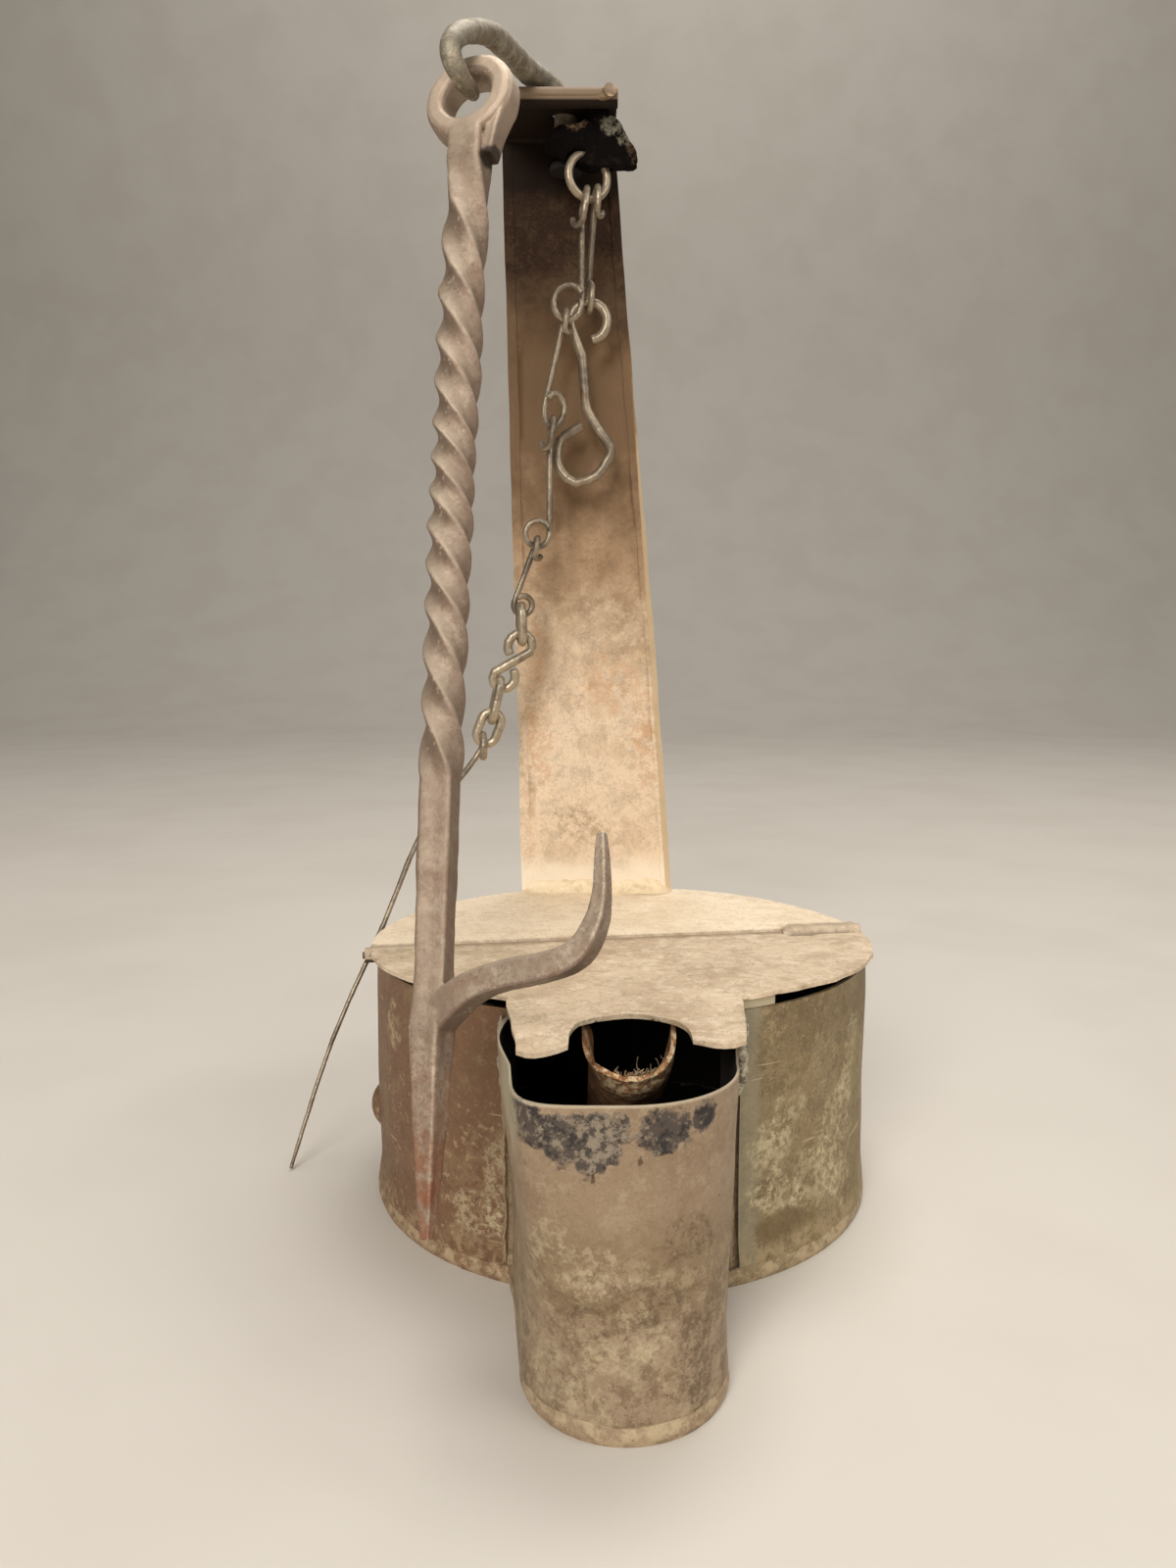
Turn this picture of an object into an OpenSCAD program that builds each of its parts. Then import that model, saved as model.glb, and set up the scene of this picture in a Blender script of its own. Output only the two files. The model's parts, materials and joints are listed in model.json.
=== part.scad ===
// Betty lamp of tinned sheet iron: an oil font with a spout, a hinged lid, an upright strap with a
// swivel hook, a forged hanger with spike and prong, and a wick pick on a wire chain.
// +X is the lamp's left as it faces out, -Y is the spout's side, +Z is up, zero is on the table.

/* [Font] */
// Outside diameter of the font wall
drum_d = 79; // [74:1:88]
// Height of the font wall above the table
drum_h = 39.2; // [35:0.2:45]
// Thickness of the tinned sheet
sheet = 0.6; // [0.4:0.05:0.75]
// Height of the lip turned up round the base
base_lip = 2.4; // [1.6:0.2:6]
// How far the cover and lid reach past the walls below them
overhang = 1.1; // [0.6:0.1:2]
// Soldered slip gap between nested sheets
seam = 0.05; // [0.03:0.01:0.1]
// How far a knock from inside bulges the wall
bulge = 1.3; // [0.5:0.1:2]

/* [Spout] */
// Width of the spout where it leaves the font
spout_w = 28.8; // [25:0.2:31]
// Width of the spout's round nose
nose_w = 25; // [22:0.2:27]
// Reach of the nose in front of the font's axis
spout_reach = 69; // [66:0.5:76]
// Sideways shift of the spout
spout_shift = -1.4; // [-2.4:0.2:2]
// Width of each spout flange inside the font wall
flange_w = 5; // [4:0.5:8]
// Slot between the spout and the font wall's front edges
slot_w = 2.1; // [0.8:0.1:2.5]
// How far the right flange stands above the rim
tab_rise = 1.5; // [0.8:0.1:2.2]

/* [Lid and cover] */
// Distance of the hinge line in front of the font's axis
hinge_front = 0.5; // [0:0.5:6]
// Skew of the hinge line across the font
hinge_skew = 8.5; // [0:0.5:10]
// Diameter of the hinge wire
pin_d = 1.1; // [0.8:0.05:1.4]
// Running fit of the rolled knuckles on the wire, on the radius
pin_fit = 0.05; // [0.03:0.01:0.08]
// Length of each rolled knuckle of the cover
knuckle_l = 13.5; // [9:0.5:18]
// How far the hinge's ends stand out past the cover
hinge_over = 0.8; // [0.2:0.1:2]
// Reach of the lid's tongue in front of the font's axis
tongue_reach = 58.4; // [54:0.2:60]
// Sideways shift of the tongue and its notch from the spout's middle
tongue_shift = 0.7; // [0:0.1:1]
// Width of the wick notch in the tongue
notch_w = 14.5; // [11:0.5:18]
// Depth of the wick notch
notch_l = 12.5; // [10:0.5:14]
// Length of the slot that the lid's snipped corner leaves by the right knuckle
slit_l = 6; // [4:0.5:8]
// Depth of that slot
slit_w = 2.2; // [1:0.2:3]
// Clearance of the closed lid over the front rim
lid_gap = 0.3; // [0.2:0.05:0.5]

/* [Wick] */
// Outside width of the half-round wick support
trough_w = 11; // [10:0.5:15]
// Sideways shift of the wick support from the spout's middle
trough_shift = 1.4; // [0:0.1:1.6]
// Slope of the wick support
trough_slope = 34; // [28:1:40]
// How far the support's lip lies behind the nose
trough_back = 23; // [20:0.5:30]
// Drop of the support's lip edges below the rim
trough_drop = 1.4; // [0.8:0.2:4]
// Diameter of what is left of the wick
wick_d = 5; // [3:0.5:7]

/* [Upright] */
// Width of the upright at its foot
strap_w = 29.4; // [24:0.2:34]
// Width of the upright at its top
strap_top_w = 21.4; // [18:0.2:25]
// Thickness of the upright
strap_t = 0.9; // [0.7:0.05:1.2]
// Height of the upright above the cover
strap_h = 140; // [120:1:160]
// Sideways offset of the upright's foot
strap_x = -3.3; // [-6:0.1:2]
// Sideways lean of the upright
strap_lean = 2.6; // [0:0.1:4]
// Width of the hem folded along each edge
hem_w = 1.8; // [1.2:0.1:3]
// Depth of the shelf bent forward at the top
shelf_l = 17.5; // [15:0.5:22]
// Diameter of the wire in the shelf's rolled edge
rim_wire_d = 2; // [1.4:0.1:2.6]
// Sheet rolled round the rim wire
roll_t = 0.45; // [0.3:0.05:0.6]

/* [Swivel] */
// Diameter of the swivel's shank
shank_d = 4.2; // [3.4:0.1:5]
// Running fit of the shank, on the radius
shank_fit = 0.08; // [0.05:0.01:0.1]
// Height of the forged block under the shelf
block_h = 9; // [8:0.25:10]
// Diameter of the hook's end in the hanger's eye
hook_end_d = 3.2; // [2.6:0.1:3.8]
// Diameter of the hook where it leaves the shelf
hook_d = 4.6; // [3.8:0.1:5.2]

/* [Hanger] */
// Square bar of the hanger under the eye
bar_w = 5.1; // [4.4:0.1:5.6]
// Square bar of the hanger above the prong
bar_low_w = 3.9; // [3.2:0.1:4.4]
// Hole of the eye
eye_hole = 7.4; // [6.8:0.1:8.4]
// Width of the iron round the eye
eye_band = 3.4; // [3:0.1:4.4]
// Thickness of the eye
eye_t = 4.8; // [4:0.1:5.6]
// Length from the eye's bearing to the spike's point
hanger_l = 155.6; // [146:0.5:162]
// Height of the prong's root above the spike's point
spike_l = 26; // [22:0.5:32]
// Turns of the twist, left-handed
twist_turns = 3.25; // [1:0.25:4]
// Length of the twisted stretch
twist_l = 84; // [60:1:92]
// How far the bar is bowed out of straight
bar_bow = 0.8; // [0:0.1:1.5]
// Reach of the prong from the bar
prong_l = 22.5; // [16:0.5:24]
// Height of the prong's upturned end
prong_h = 18; // [12:0.5:22]
// Turn of the prong from the eye's plane
prong_turn = 12; // [0:1:20]

/* [Chain] */
// Diameter of the long links' wire
link_wire = 1.3; // [1:0.05:1.4]
// Diameter of the small links' wire
small_wire = 1.25; // [1:0.05:1.3]
// Play of each link on the wire that carries it
link_play = 0.3; // [0.2:0.05:0.4]
// Outside diameter of the ring
ring_d = 8.6; // [8:0.1:9.4]
// Diameter of the ring's wire
ring_wire = 1.3; // [1:0.05:1.4]
// Diameter of the spare hook's wire
spare_wire = 1.65; // [1.3:0.05:1.8]
// Diameter of the wick pick
pick_d = 1.4; // [1.1:0.05:1.6]

/* [Hidden] */
$fn = 96;
wire_sides = 8;
bar_sides = 10;
eps = 0.01;

// Font and spout
drum_r = drum_d / 2;
rim_z = drum_h - lid_gap;
cover_r = drum_r + overhang;
nose_y = spout_reach - nose_w / 2;
opening_w = spout_w + 2 * slot_w;
flange_r = drum_r - sheet - seam;
bulge_r = 4.5;
bulge_at = [-170, 14];

// Hinge
knuckle_r = pin_d / 2 + pin_fit + sheet;
hinge_z = drum_h + sheet - knuckle_r;
hinge_gap = 0.5;
roll_in = knuckle_r / 4;
hinge_half = cover_r + hinge_over;
lid_half = hinge_half - knuckle_l;
end_play = 0.3;
pin_out = 0.4;
tab_near = hinge_local([spout_shift + opening_w / 2 + flange_w, -sqrt(pow(flange_r, 2)
    - pow(spout_shift + opening_w / 2 + flange_w, 2))])[1];
rest_gap = 0.15;
lid_ajar = asin((tab_rise - lid_gap + rest_gap) / abs(tab_near));

// Upright, shelf and swivel
cover_top = drum_h + sheet;
strap_y = drum_r - 3;
shelf_z = cover_top + strap_h;
strap_top_x = strap_x - strap_h * tan(strap_lean);
roll_r = rim_wire_d / 2 + seam + roll_t;
roll_z = shelf_z + strap_t - roll_r;
shelf_y = strap_y - shelf_l;
hem_t = 0.4;
swivel = [strap_top_x + 0.7, strap_y - shelf_l / 2 + 0.7, shelf_z];
head_r = shank_d / 2 + 0.9;
head_h = 1.2;
end_shake = 0.2;
ring_hole_d = ring_wire + 1.2;

// Hanger: the place of its bearing from the swivel, and how it hangs
bearing = swivel + [-13, -37.7, -12.9];
hang_yaw = -22;
hang_lean = -20;
hang_tilt = -7.2;
eye_r = eye_hole / 2 + eye_band;
eye_drop = (eye_hole - hook_end_d) / 2 - link_play;
hook_back = eye_t / 2 + 0.6;
prong_z = -hanger_l + spike_l;
twist_top = -eye_drop - eye_r - 4;
bar_flat = 0.86;
lap_l = 0.7 * eye_r;

// Chain: where each link bears on the wire above it, from the swivel
ring_mid = ring_d / 2 - ring_wire / 2;
ring_top = swivel + [3.85, -3.8, -11.05 + ring_mid];
ring_yaw = 24;
right_at = ring_point(27);
left_at = ring_point(-8);
chain_y = -3.7;
chain_at = [
    left_at,
    swivel + [-0.26, chain_y, -34.94],
    swivel + [-2.55, chain_y, -53.23],
    swivel + [-5.6, chain_y, -74.34],
    swivel + [-8.32, chain_y, -86.4],
    swivel + [-8.16, chain_y, -91.34],
    swivel + [-12.5, chain_y, -99.7],
    swivel + [-13.81, chain_y, -105.61],
    swivel + [-15.46, chain_y, -109.75]
];
spare_at = swivel + [4, chain_y + 3.4, -32.8];
lap_from = 220;
lap_to = 325;
lap_gap = 0.12;
butt_gap = 0.2;
edge_on = 100;
face_on = edge_on - 90;
pick_clear = 2;
pick_rim = cover_r + pick_d / 2 + pick_clear;
pick_tip = [-pick_rim - 12, -1, 0.4];

// Lengths along a path
function unit(v) = v / norm(v);
function turn_z(v, a) = [v[0] * cos(a) - v[1] * sin(a), v[0] * sin(a) + v[1] * cos(a), v[2]];
function hinge_local(p) = let (q = p + [0, hinge_front])
    [q[0] * cos(hinge_skew) + q[1] * sin(hinge_skew), -q[0] * sin(hinge_skew) + q[1] * cos(hinge_skew)];
function ring_point(a) = ring_top + [0, 0, -ring_mid]
    + turn_z([ring_mid * sin(a), 0, -ring_mid * cos(a)], ring_yaw);
function ease(t) = let (u = min(max(t, 0), 1)) u * u * (3 - 2 * u);
function arc(c, r, from, to, steps, lap = 0) = [for (k = [0:steps]) let (a = from + (to - from) * k / steps)
    c + [r[0] * cos(a), lap * ease((abs(a) - lap_from) / (lap_to - lap_from)), r[1] * sin(a)]];

// A smooth curve through hand-set points
function spline(p, i, u) =
    let (a = p[max(i - 1, 0)], b = p[i], c = p[i + 1], d = p[min(i + 2, len(p) - 1)])
    0.5 * (2 * b + (c - a) * u + (2 * a - 5 * b + 4 * c - d) * u * u + (3 * b - a - 3 * c + d) * u * u * u);
function curve(p, steps) = [
    for (i = [0:len(p) - 2]) for (k = [0:steps - 1]) spline(p, i, k / steps),
    p[len(p) - 1]
];

// Rings of points square to a path, carried along it without twisting
function along(p, i) = unit(p[min(i + 1, len(p) - 1)] - p[max(i - 1, 0)]);
function carry(n, t) = unit(n - (n * t) * t);
function sides_of(p, first) = let (last = len(p) - 1) [
    for (i = 0, n = carry(first, along(p, 0)); i <= last; i = i + 1, n = carry(n, along(p, min(i, last)))) n
];
function round_ring(c, t, n, r, sides) = let (b = cross(t, n))
    [for (k = [0:sides - 1]) let (a = 360 * k / sides) c + r * (cos(a) * n + sin(a) * b)];
function square_ring(c, t, n, w, turn) =
    let (b = cross(t, n), h = w / 2, e = bar_flat * w / 2)
    [for (q = [[h, e], [e, h], [-e, h], [-h, e], [-h, -e], [-e, -h], [e, -h], [h, -e]])
        let (x = q[0] * cos(turn) - q[1] * sin(turn), y = q[0] * sin(turn) + q[1] * cos(turn))
        c + x * n + y * b];
function wire_rings(p, r0, r1, sides, first) = let (n = sides_of(p, first), last = len(p) - 1)
    [for (i = [0:last]) round_ring(p[i], along(p, i), n[i], r0 + (r1 - r0) * i / last, sides)];

// A closed skin over a row of equal rings
module skin(rings) {
    m = len(rings[0]);
    last = len(rings) - 1;
    points = [for (r = rings) for (q = r) q];
    walls = [
        for (i = [0:last - 1]) for (k = [0:m - 1]) for (half = [0, 1])
            let (a = i * m + k, b = i * m + (k + 1) % m)
            half == 0 ? [a, a + m, b + m] : [a, b + m, b]
    ];
    foot = [for (k = [1:m - 2]) [0, k, k + 1]];
    top = [for (k = [1:m - 2]) [last * m, last * m + k + 1, last * m + k]];
    polyhedron(points = points, faces = concat(walls, foot, top), convexity = 10);
}

module wire(p, d, first = [0, 1, 0], sides = wire_sides) {
    skin(wire_rings(p, d / 2, d / 2, sides, first));
}

// Outlines of the font and spout, grown by g
module spout_outline(g) {
    half = spout_w / 2 + g;
    nose = nose_w / 2 + g;
    translate([spout_shift, 0]) {
        polygon([
            [-half, -drum_r / 2], [half, -drum_r / 2], [half, -drum_r], [nose, -nose_y], [-nose, -nose_y],
            [-half, -drum_r]
        ]);
        translate([0, -nose_y]) circle(r = nose);
    }
}

module font_outline(g) {
    circle(r = drum_r + g);
    spout_outline(g);
}

// One side of the hinge line: +1 behind it, -1 in front, from a distance off the line
module behind_hinge(side, off, from, to) {
    translate([0, -hinge_front]) rotate(hinge_skew)
        translate([from, side > 0 ? off : -off - 2 * drum_d]) square([to - from, 2 * drum_d]);
}

module on_hinge() {
    translate([0, -hinge_front, hinge_z]) rotate([0, 0, hinge_skew]) children();
}

module knuckle(from, to) {
    translate([from, 0, 0]) rotate([0, 90, 0]) difference() {
        cylinder(r = knuckle_r, h = to - from);
        translate([0, 0, -eps]) cylinder(r = pin_d / 2 + pin_fit, h = to - from + 2 * eps);
    }
}

// Base pan with its lip turned up round the walls
module base_plate() {
    color("#8d7a5e") {
        linear_extrude(sheet) font_outline(seam + sheet);
        linear_extrude(base_lip) difference() {
            font_outline(seam + sheet);
            font_outline(seam);
        }
    }
}

// Font wall: a hoop of sheet, open at the spout and notched for the hinge
module drum_wall() {
    lobe = [drum_r + bulge - bulge_r, 0, bulge_at[1]];
    color("#85765a") difference() {
        union() {
            translate([0, 0, sheet]) cylinder(r = drum_r, h = drum_h - sheet);
            rotate([0, 0, bulge_at[0]]) translate(lobe) sphere(r = bulge_r);
        }
        translate([0, 0, sheet - eps]) cylinder(r = drum_r - sheet, h = drum_h);
        rotate([0, 0, bulge_at[0]]) translate(lobe) sphere(r = bulge_r - sheet);
        translate([spout_shift - opening_w / 2, -drum_d, 0]) cube([opening_w, drum_d, drum_d]);
        translate([0, 0, rim_z]) linear_extrude(drum_d)
            behind_hinge(-1, -knuckle_r - hinge_gap, -drum_d, drum_d);
        on_hinge() rotate([0, 90, 0]) cylinder(r = knuckle_r + seam, h = 2 * drum_d, center = true);
    }
}

// Spout: a trough-shaped wall whose flanges lie inside the font wall, the right one standing proud
module spout_wall() {
    reach = opening_w / 2 + flange_w;
    module flanges(from, to) {
        difference() {
            circle(r = flange_r);
            circle(r = flange_r - sheet);
            translate([-drum_d, 0]) square([2 * drum_d, drum_d]);
            translate([-drum_d, -drum_d]) square([drum_d + from, drum_d]);
            translate([to, -drum_d]) square([drum_d, drum_d]);
        }
    }
    color("#a08a6d") {
        translate([0, 0, sheet]) linear_extrude(rim_z - sheet) {
            difference() {
                spout_outline(0);
                spout_outline(-sheet);
                circle(r = flange_r - sheet);
            }
            flanges(spout_shift - reach, spout_shift - spout_w / 2 + sheet);
            flanges(spout_shift + spout_w / 2 - sheet, spout_shift + reach);
        }
        translate([0, 0, rim_z - eps]) linear_extrude(tab_rise + eps)
            flanges(spout_shift + opening_w / 2, spout_shift + reach);
    }
}

// Fixed cover over the rear of the font, its ends rolled round the hinge wire
module rear_cover() {
    clear = knuckle_r + hinge_gap;
    color("#c2ad8a") {
        translate([0, 0, drum_h]) linear_extrude(sheet) intersection() {
            circle(r = cover_r);
            union() {
                behind_hinge(1, clear, -drum_d, drum_d);
                behind_hinge(1, roll_in, -drum_d, -lid_half - end_play);
                behind_hinge(1, roll_in, lid_half + end_play, drum_d);
            }
        }
        on_hinge() {
            knuckle(-hinge_half, -lid_half);
            knuckle(lid_half, hinge_half);
        }
    }
}

// Lid: front half-moon and a tongue over the spout, with the wick notch
module lid() {
    clear = knuckle_r + hinge_gap;
    module plan() {
        difference() {
            intersection() {
                union() {
                    circle(r = cover_r + seam);
                    translate([tongue_shift, 0]) spout_outline(overhang);
                }
                union() {
                    behind_hinge(-1, clear, -drum_d, drum_d);
                    behind_hinge(-1, roll_in, -lid_half + 2 * end_play, lid_half - 2 * end_play);
                }
            }
            translate([-drum_d, -tongue_reach - drum_d]) square([2 * drum_d, drum_d]);
            translate([0, -hinge_front]) rotate(hinge_skew) translate([lid_half - end_play, -clear])
                polygon([[0, 1], [0, -slit_w], [0.7 * slit_l, -slit_w], [slit_l, 0], [slit_l, 1]]);
            translate([spout_shift + tongue_shift, -tongue_reach + notch_l - notch_w / 2]) {
                circle(d = notch_w);
                translate([-notch_w / 2, -drum_d]) square([notch_w, drum_d]);
            }
        }
    }
    color("#c9b592") on_hinge() rotate([-lid_ajar, 0, 0]) {
        translate([0, 0, knuckle_r - sheet]) rotate([0, 0, -hinge_skew]) translate([0, hinge_front, 0])
            linear_extrude(sheet) plan();
        knuckle(-lid_half + end_play, lid_half - end_play);
    }
}

// Hinge wire through all the knuckles
module hinge_pin() {
    color("#6b5c4c") on_hinge() rotate([0, 90, 0])
        cylinder(d = pin_d, h = 2 * (hinge_half + pin_out), center = true);
}

// Placing of the sloping wick support: its axis at the lip, sloping down to the base behind
module on_trough() {
    translate([spout_shift + trough_shift, -spout_reach + trough_back, rim_z - trough_drop])
        rotate([-90 - trough_slope, 0, 0]) children();
}

// Wick support: a half-round open channel seated on the base
module wick_support() {
    color("#7c4a2c") intersection() {
        on_trough() linear_extrude(drum_d) difference() {
            union() {
                circle(d = trough_w);
                translate([-trough_w / 2, -2]) square([trough_w, 2]);
            }
            circle(d = trough_w - 2 * sheet);
            translate([-trough_w / 2 + sheet, -drum_d]) square([trough_w - 2 * sheet, drum_d]);
            translate([-drum_d, -drum_d - 2]) square([2 * drum_d, drum_d]);
        }
        translate([-drum_d, -drum_d, sheet]) cube(2 * drum_d);
    }
}

// What is left of the wick, lying in the support
module wick() {
    wick_l = (rim_z - trough_drop - trough_w / 2) / sin(trough_slope) - 12;
    color("#b8a98c") on_trough()
        translate([0, trough_w / 2 - sheet - wick_d / 2 - 0.1, 2.5]) cylinder(d = wick_d, h = wick_l);
}

// Upright strap with hemmed edges, bent forward at the top into a shelf with a rolled edge
module upright() {
    foot_l = strap_x - strap_w / 2;
    foot_r = strap_x + strap_w / 2;
    top_l = strap_top_x - strap_top_w / 2;
    top_r = strap_top_x + strap_top_w / 2;
    module standing(t, low, high) {
        translate([0, strap_y + strap_t, cover_top]) rotate([90, 0, 0]) linear_extrude(t)
            polygon([[low[0], 0], [low[1], 0], [high[1], strap_h], [high[0], strap_h]]);
    }
    color("#5d4d3a") difference() {
        union() {
            standing(strap_t, [foot_l, foot_r], [top_l, top_r]);
            standing(strap_t + hem_t, [foot_l, foot_l + hem_w], [top_l, top_l + hem_w]);
            standing(strap_t + hem_t, [foot_r - hem_w, foot_r], [top_r - hem_w, top_r]);
            translate([top_l, strap_y, shelf_z]) rotate([0, 90, 0]) cylinder(r = strap_t, h = strap_top_w);
            translate([top_l, shelf_y, shelf_z]) cube([strap_top_w, shelf_l, strap_t]);
            translate([top_l, shelf_y, roll_z]) rotate([0, 90, 0]) cylinder(r = roll_r, h = strap_top_w);
        }
        translate([top_l - 1, shelf_y, roll_z]) rotate([0, 90, 0])
            cylinder(d = rim_wire_d + 2 * seam, h = strap_top_w + 2);
        translate(swivel - [0, 0, 2]) cylinder(d = shank_d + 2 * shank_fit, h = 2 * strap_t + 4);
    }
}

// Solder run along the upright's foot
module upright_solder() {
    run = 3.4;
    color("#c8b79a") translate([strap_x, strap_y - hem_t, cover_top]) rotate([0, 90, 0])
        linear_extrude(strap_w - 1, center = true) difference() {
            translate([-run, -run]) square(run);
            translate([-run, -run]) circle(r = run - 0.4);
        }
}

// Wire in the shelf's rolled edge
module top_wire() {
    color("#b08f68") translate([strap_top_x, shelf_y, roll_z]) rotate([0, 90, 0])
        cylinder(d = rim_wire_d, h = strap_top_w + 1.4, center = true);
}

// Rough forged block under the shelf, bored for the swivel and pierced for the chain's ring
module swivel_block() {
    front = [
        [-3.8, -5], [-2.2, -3.4], [2.6, -3], [4.4, 0], [7.2, 0], [10, -3.6], [12.4, -7.2], [11.8, -block_h],
        [4.5, -block_h - 0.9], [-0.2, -block_h], [-3, -6.6]
    ];
    side = [
        [-5.6, 0], [-5.6, -block_h], [-4.6, -2 * block_h], [-2.4, -block_h - 0.9], [4.4, -6.2], [4.4, 0]
    ];
    plan = [
        [-4, -2.6], [-2, -4.6], [3, -5.6], [9, -4.6], [12.6, -1.6], [12.4, 1.8], [8, 4.4],
        [-2.4, 4.4], [-4, 2]
    ];
    color("#2a211d") translate(swivel) difference() {
        intersection() {
            rotate([90, 0, 0]) linear_extrude(2 * block_h, center = true) polygon(front);
            translate([0, 0, -2 * block_h]) linear_extrude(2 * block_h) polygon(plan);
            translate([-block_h, 0, 0]) rotate([90, 0, 90]) linear_extrude(3 * block_h) polygon(side);
        }
        translate([0, 0, -2 * block_h]) cylinder(d = shank_d + 2 * shank_fit, h = 2 * block_h + 1);
        translate([0, 0, -2 * block_h]) cylinder(r = head_r + end_shake, h = block_h + head_h + end_shake);
        translate(ring_top - swivel - [0, 0, ring_mid]) rotate([90, 0, ring_yaw])
            rotate_extrude() translate([ring_mid, 0]) circle(d = ring_hole_d);
    }
}

// Axis of the hook's straight end, which is also the hanger's bearing
module on_bearing() {
    translate(bearing) rotate([0, 0, hang_yaw])
        rotate([hang_lean, 0, 0]) rotate([0, hang_tilt, 0]) children();
}

// Swivel hook: a shank headed under the block, and an arm that curls through the hanger's eye
module swivel_hook() {
    bar_dir = turn_z([0, cos(hang_lean), sin(hang_lean)], hang_yaw);
    arm = [
        bearing - 4 * bar_dir, bearing - 5 * bar_dir,
        bearing + [-2.6, -7.2, 2.4], bearing + [-2.3, -6.9, 4.7],
        bearing + [-1.3, -4.2, 7.1], bearing + [-0.5, 4.2, 9.9], swivel + [-11.8, -22.4, 2.3],
        swivel + [-9.2, -12.4, 5.1], swivel + [-6.2, -6.4, 5], swivel + [-2.8, -2.4, 4.2],
        swivel + [0, 0, strap_t + 1.4]
    ];
    color("#7a6a55") {
        on_bearing() translate([0, hook_back, 0]) rotate([90, 0, 0])
            cylinder(d = hook_end_d, h = hook_back + 4.6);
        skin(wire_rings(curve(arm, 4), hook_end_d / 2, hook_d / 2, bar_sides, [1, 0, 0]));
        translate(swivel + [0, 0, strap_t + end_shake]) cylinder(r = head_r, h = 2.2);
        translate(swivel - [0, 0, block_h - head_h / 2])
            cylinder(d = shank_d, h = block_h + end_shake + strap_t);
        translate(swivel - [0, 0, block_h]) cylinder(r = head_r, h = head_h);
    }
}

// Hanger: one forging with an eye, a twisted bar, a spike and an upturned prong
module hanger() {
    twist_low = twist_top - twist_l;
    bar_top = -eye_drop - eye_r + 1.2;
    twist_steps = ceil(twist_turns * 360 / 15);
    twist_all = twist_turns * 360 - prong_turn;
    stations = concat(
        [[bar_top, bar_w, 0]],
        [for (k = [0:twist_steps]) let (u = k / twist_steps)
            [twist_top + (twist_low - twist_top) * u, bar_w + (bar_low_w - bar_w) * u, twist_all * u]],
        [
            [prong_z + 4, bar_low_w, twist_all], [prong_z - 2, bar_low_w + 0.3, twist_all],
            [prong_z - spike_l / 2, 0.8 * bar_low_w, twist_all],
            [prong_z - 0.8 * spike_l, 0.46 * bar_low_w, twist_all], [-hanger_l, 0.14 * bar_low_w, twist_all]
        ]
    );
    prong = [
        [0.4, -1.6], [0.2 * prong_l, 1.4], [0.42 * prong_l, 2.9],
        [0.68 * prong_l, 3.6], [0.86 * prong_l, 4.8],
        [0.96 * prong_l, 7.6], [prong_l, 11.2], [prong_l, prong_h]
    ];
    path = curve([for (q = prong) [q[0], 0, prong_z + q[1]]], 3);
    n = sides_of(path, [0, 1, 0]);
    last = len(path) - 1;
    color("#6d5a4c") on_bearing() {
        translate([0, eye_t / 2, -eye_drop]) rotate([90, 0, 0]) rotate_extrude()
            polygon([
                [eye_hole / 2, 0.6], [eye_hole / 2 + 0.6, 0], [eye_r - 0.9, 0], [eye_r, 0.9],
                [eye_r, eye_t - 0.9], [eye_r - 0.9, eye_t], [eye_hole / 2 + 0.6, eye_t],
                [eye_hole / 2, eye_t - 0.6]
            ]);
        translate([bar_w / 2 - 0.4, 0, -eye_drop - 0.62 * eye_r]) rotate([0, 14, 0])
            translate([0, -eye_t / 2 + 0.3, -lap_l]) cube([0.36 * eye_r, eye_t - 0.6, lap_l]);
        skin([for (s = stations)
            square_ring([bar_bow * sin(180 * s[0] / hanger_l), 0, s[0]],
                [0, 0, -1], [1, 0, 0], s[1], -s[2])]);
        rotate([0, 0, -prong_turn]) skin([for (i = [0:last]) let (u = i / last)
            square_ring(path[i], along(path, i), n[i], bar_low_w * (1 - 0.45 * u - 0.3 * pow(u, 6)), 0)]);
    }
}

// A wire link between two bearing points: an eye that hangs on a wire of the given diameter at the
// first, a shank, and a loop whose lowest wire passes the second, turned from the eye's plane; each
// end is lapped past the shank
function link_path(len, d, carrier, eye, loop, turn, wrap) =
    let (eye_z = (d + carrier) / 2 + link_play - eye[1], loop_z = loop[1] - len,
        lap = (d + lap_gap) * (turn < 0 ? -1 : 1), steps = ceil(wrap / 27))
    concat(
        arc([0, 0, eye_z], eye, wrap, 0, steps, -lap),
        [for (q = arc([0, 0, loop_z], loop, 0, -wrap, steps, lap)) turn_z(q, turn)]
    );

// A wire bent into one long ring between two bearing points, its ends butted at the side
function ring_path(len, d, carrier, top, low) =
    let (top_z = (d + carrier) / 2 + link_play - top[1], low_z = low[1] - len, mid_z = (top_z + low_z) / 2)
    concat(
        [[-(top[0] + low[0]) / 2, 0, mid_z + butt_gap / 2]],
        arc([0, 0, top_z], top, 180, 0, 8),
        arc([0, 0, low_z], low, 0, -180, 8),
        [[-(top[0] + low[0]) / 2, 0, mid_z - butt_gap / 2]]
    );

module hang(from, to, roll) {
    v = from - to;
    way = atan2(v[1], v[0]);
    translate(from) rotate([0, acos(v[2] / norm(v)), way]) rotate([0, 0, roll - way]) children();
}

module wire_link(from, to, d, carrier, eye, loop, roll, turn = 90, wrap = lap_to) {
    path = link_path(norm(from - to), d, carrier, eye, loop, turn, wrap);
    color("#8a8176") hang(from, to, roll) wire(path, d);
}

module chain_ring() {
    color("#8f8678") translate(ring_top - [0, 0, ring_mid]) rotate([90, 0, ring_yaw])
        rotate_extrude() translate([ring_mid, 0]) circle(d = ring_wire, $fn = 24);
}

module long_link_right() {
    wire_link(right_at, spare_at, link_wire, ring_wire + link_play, [1.8, 2.3], [2, 2.5], edge_on, 0);
}

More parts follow.
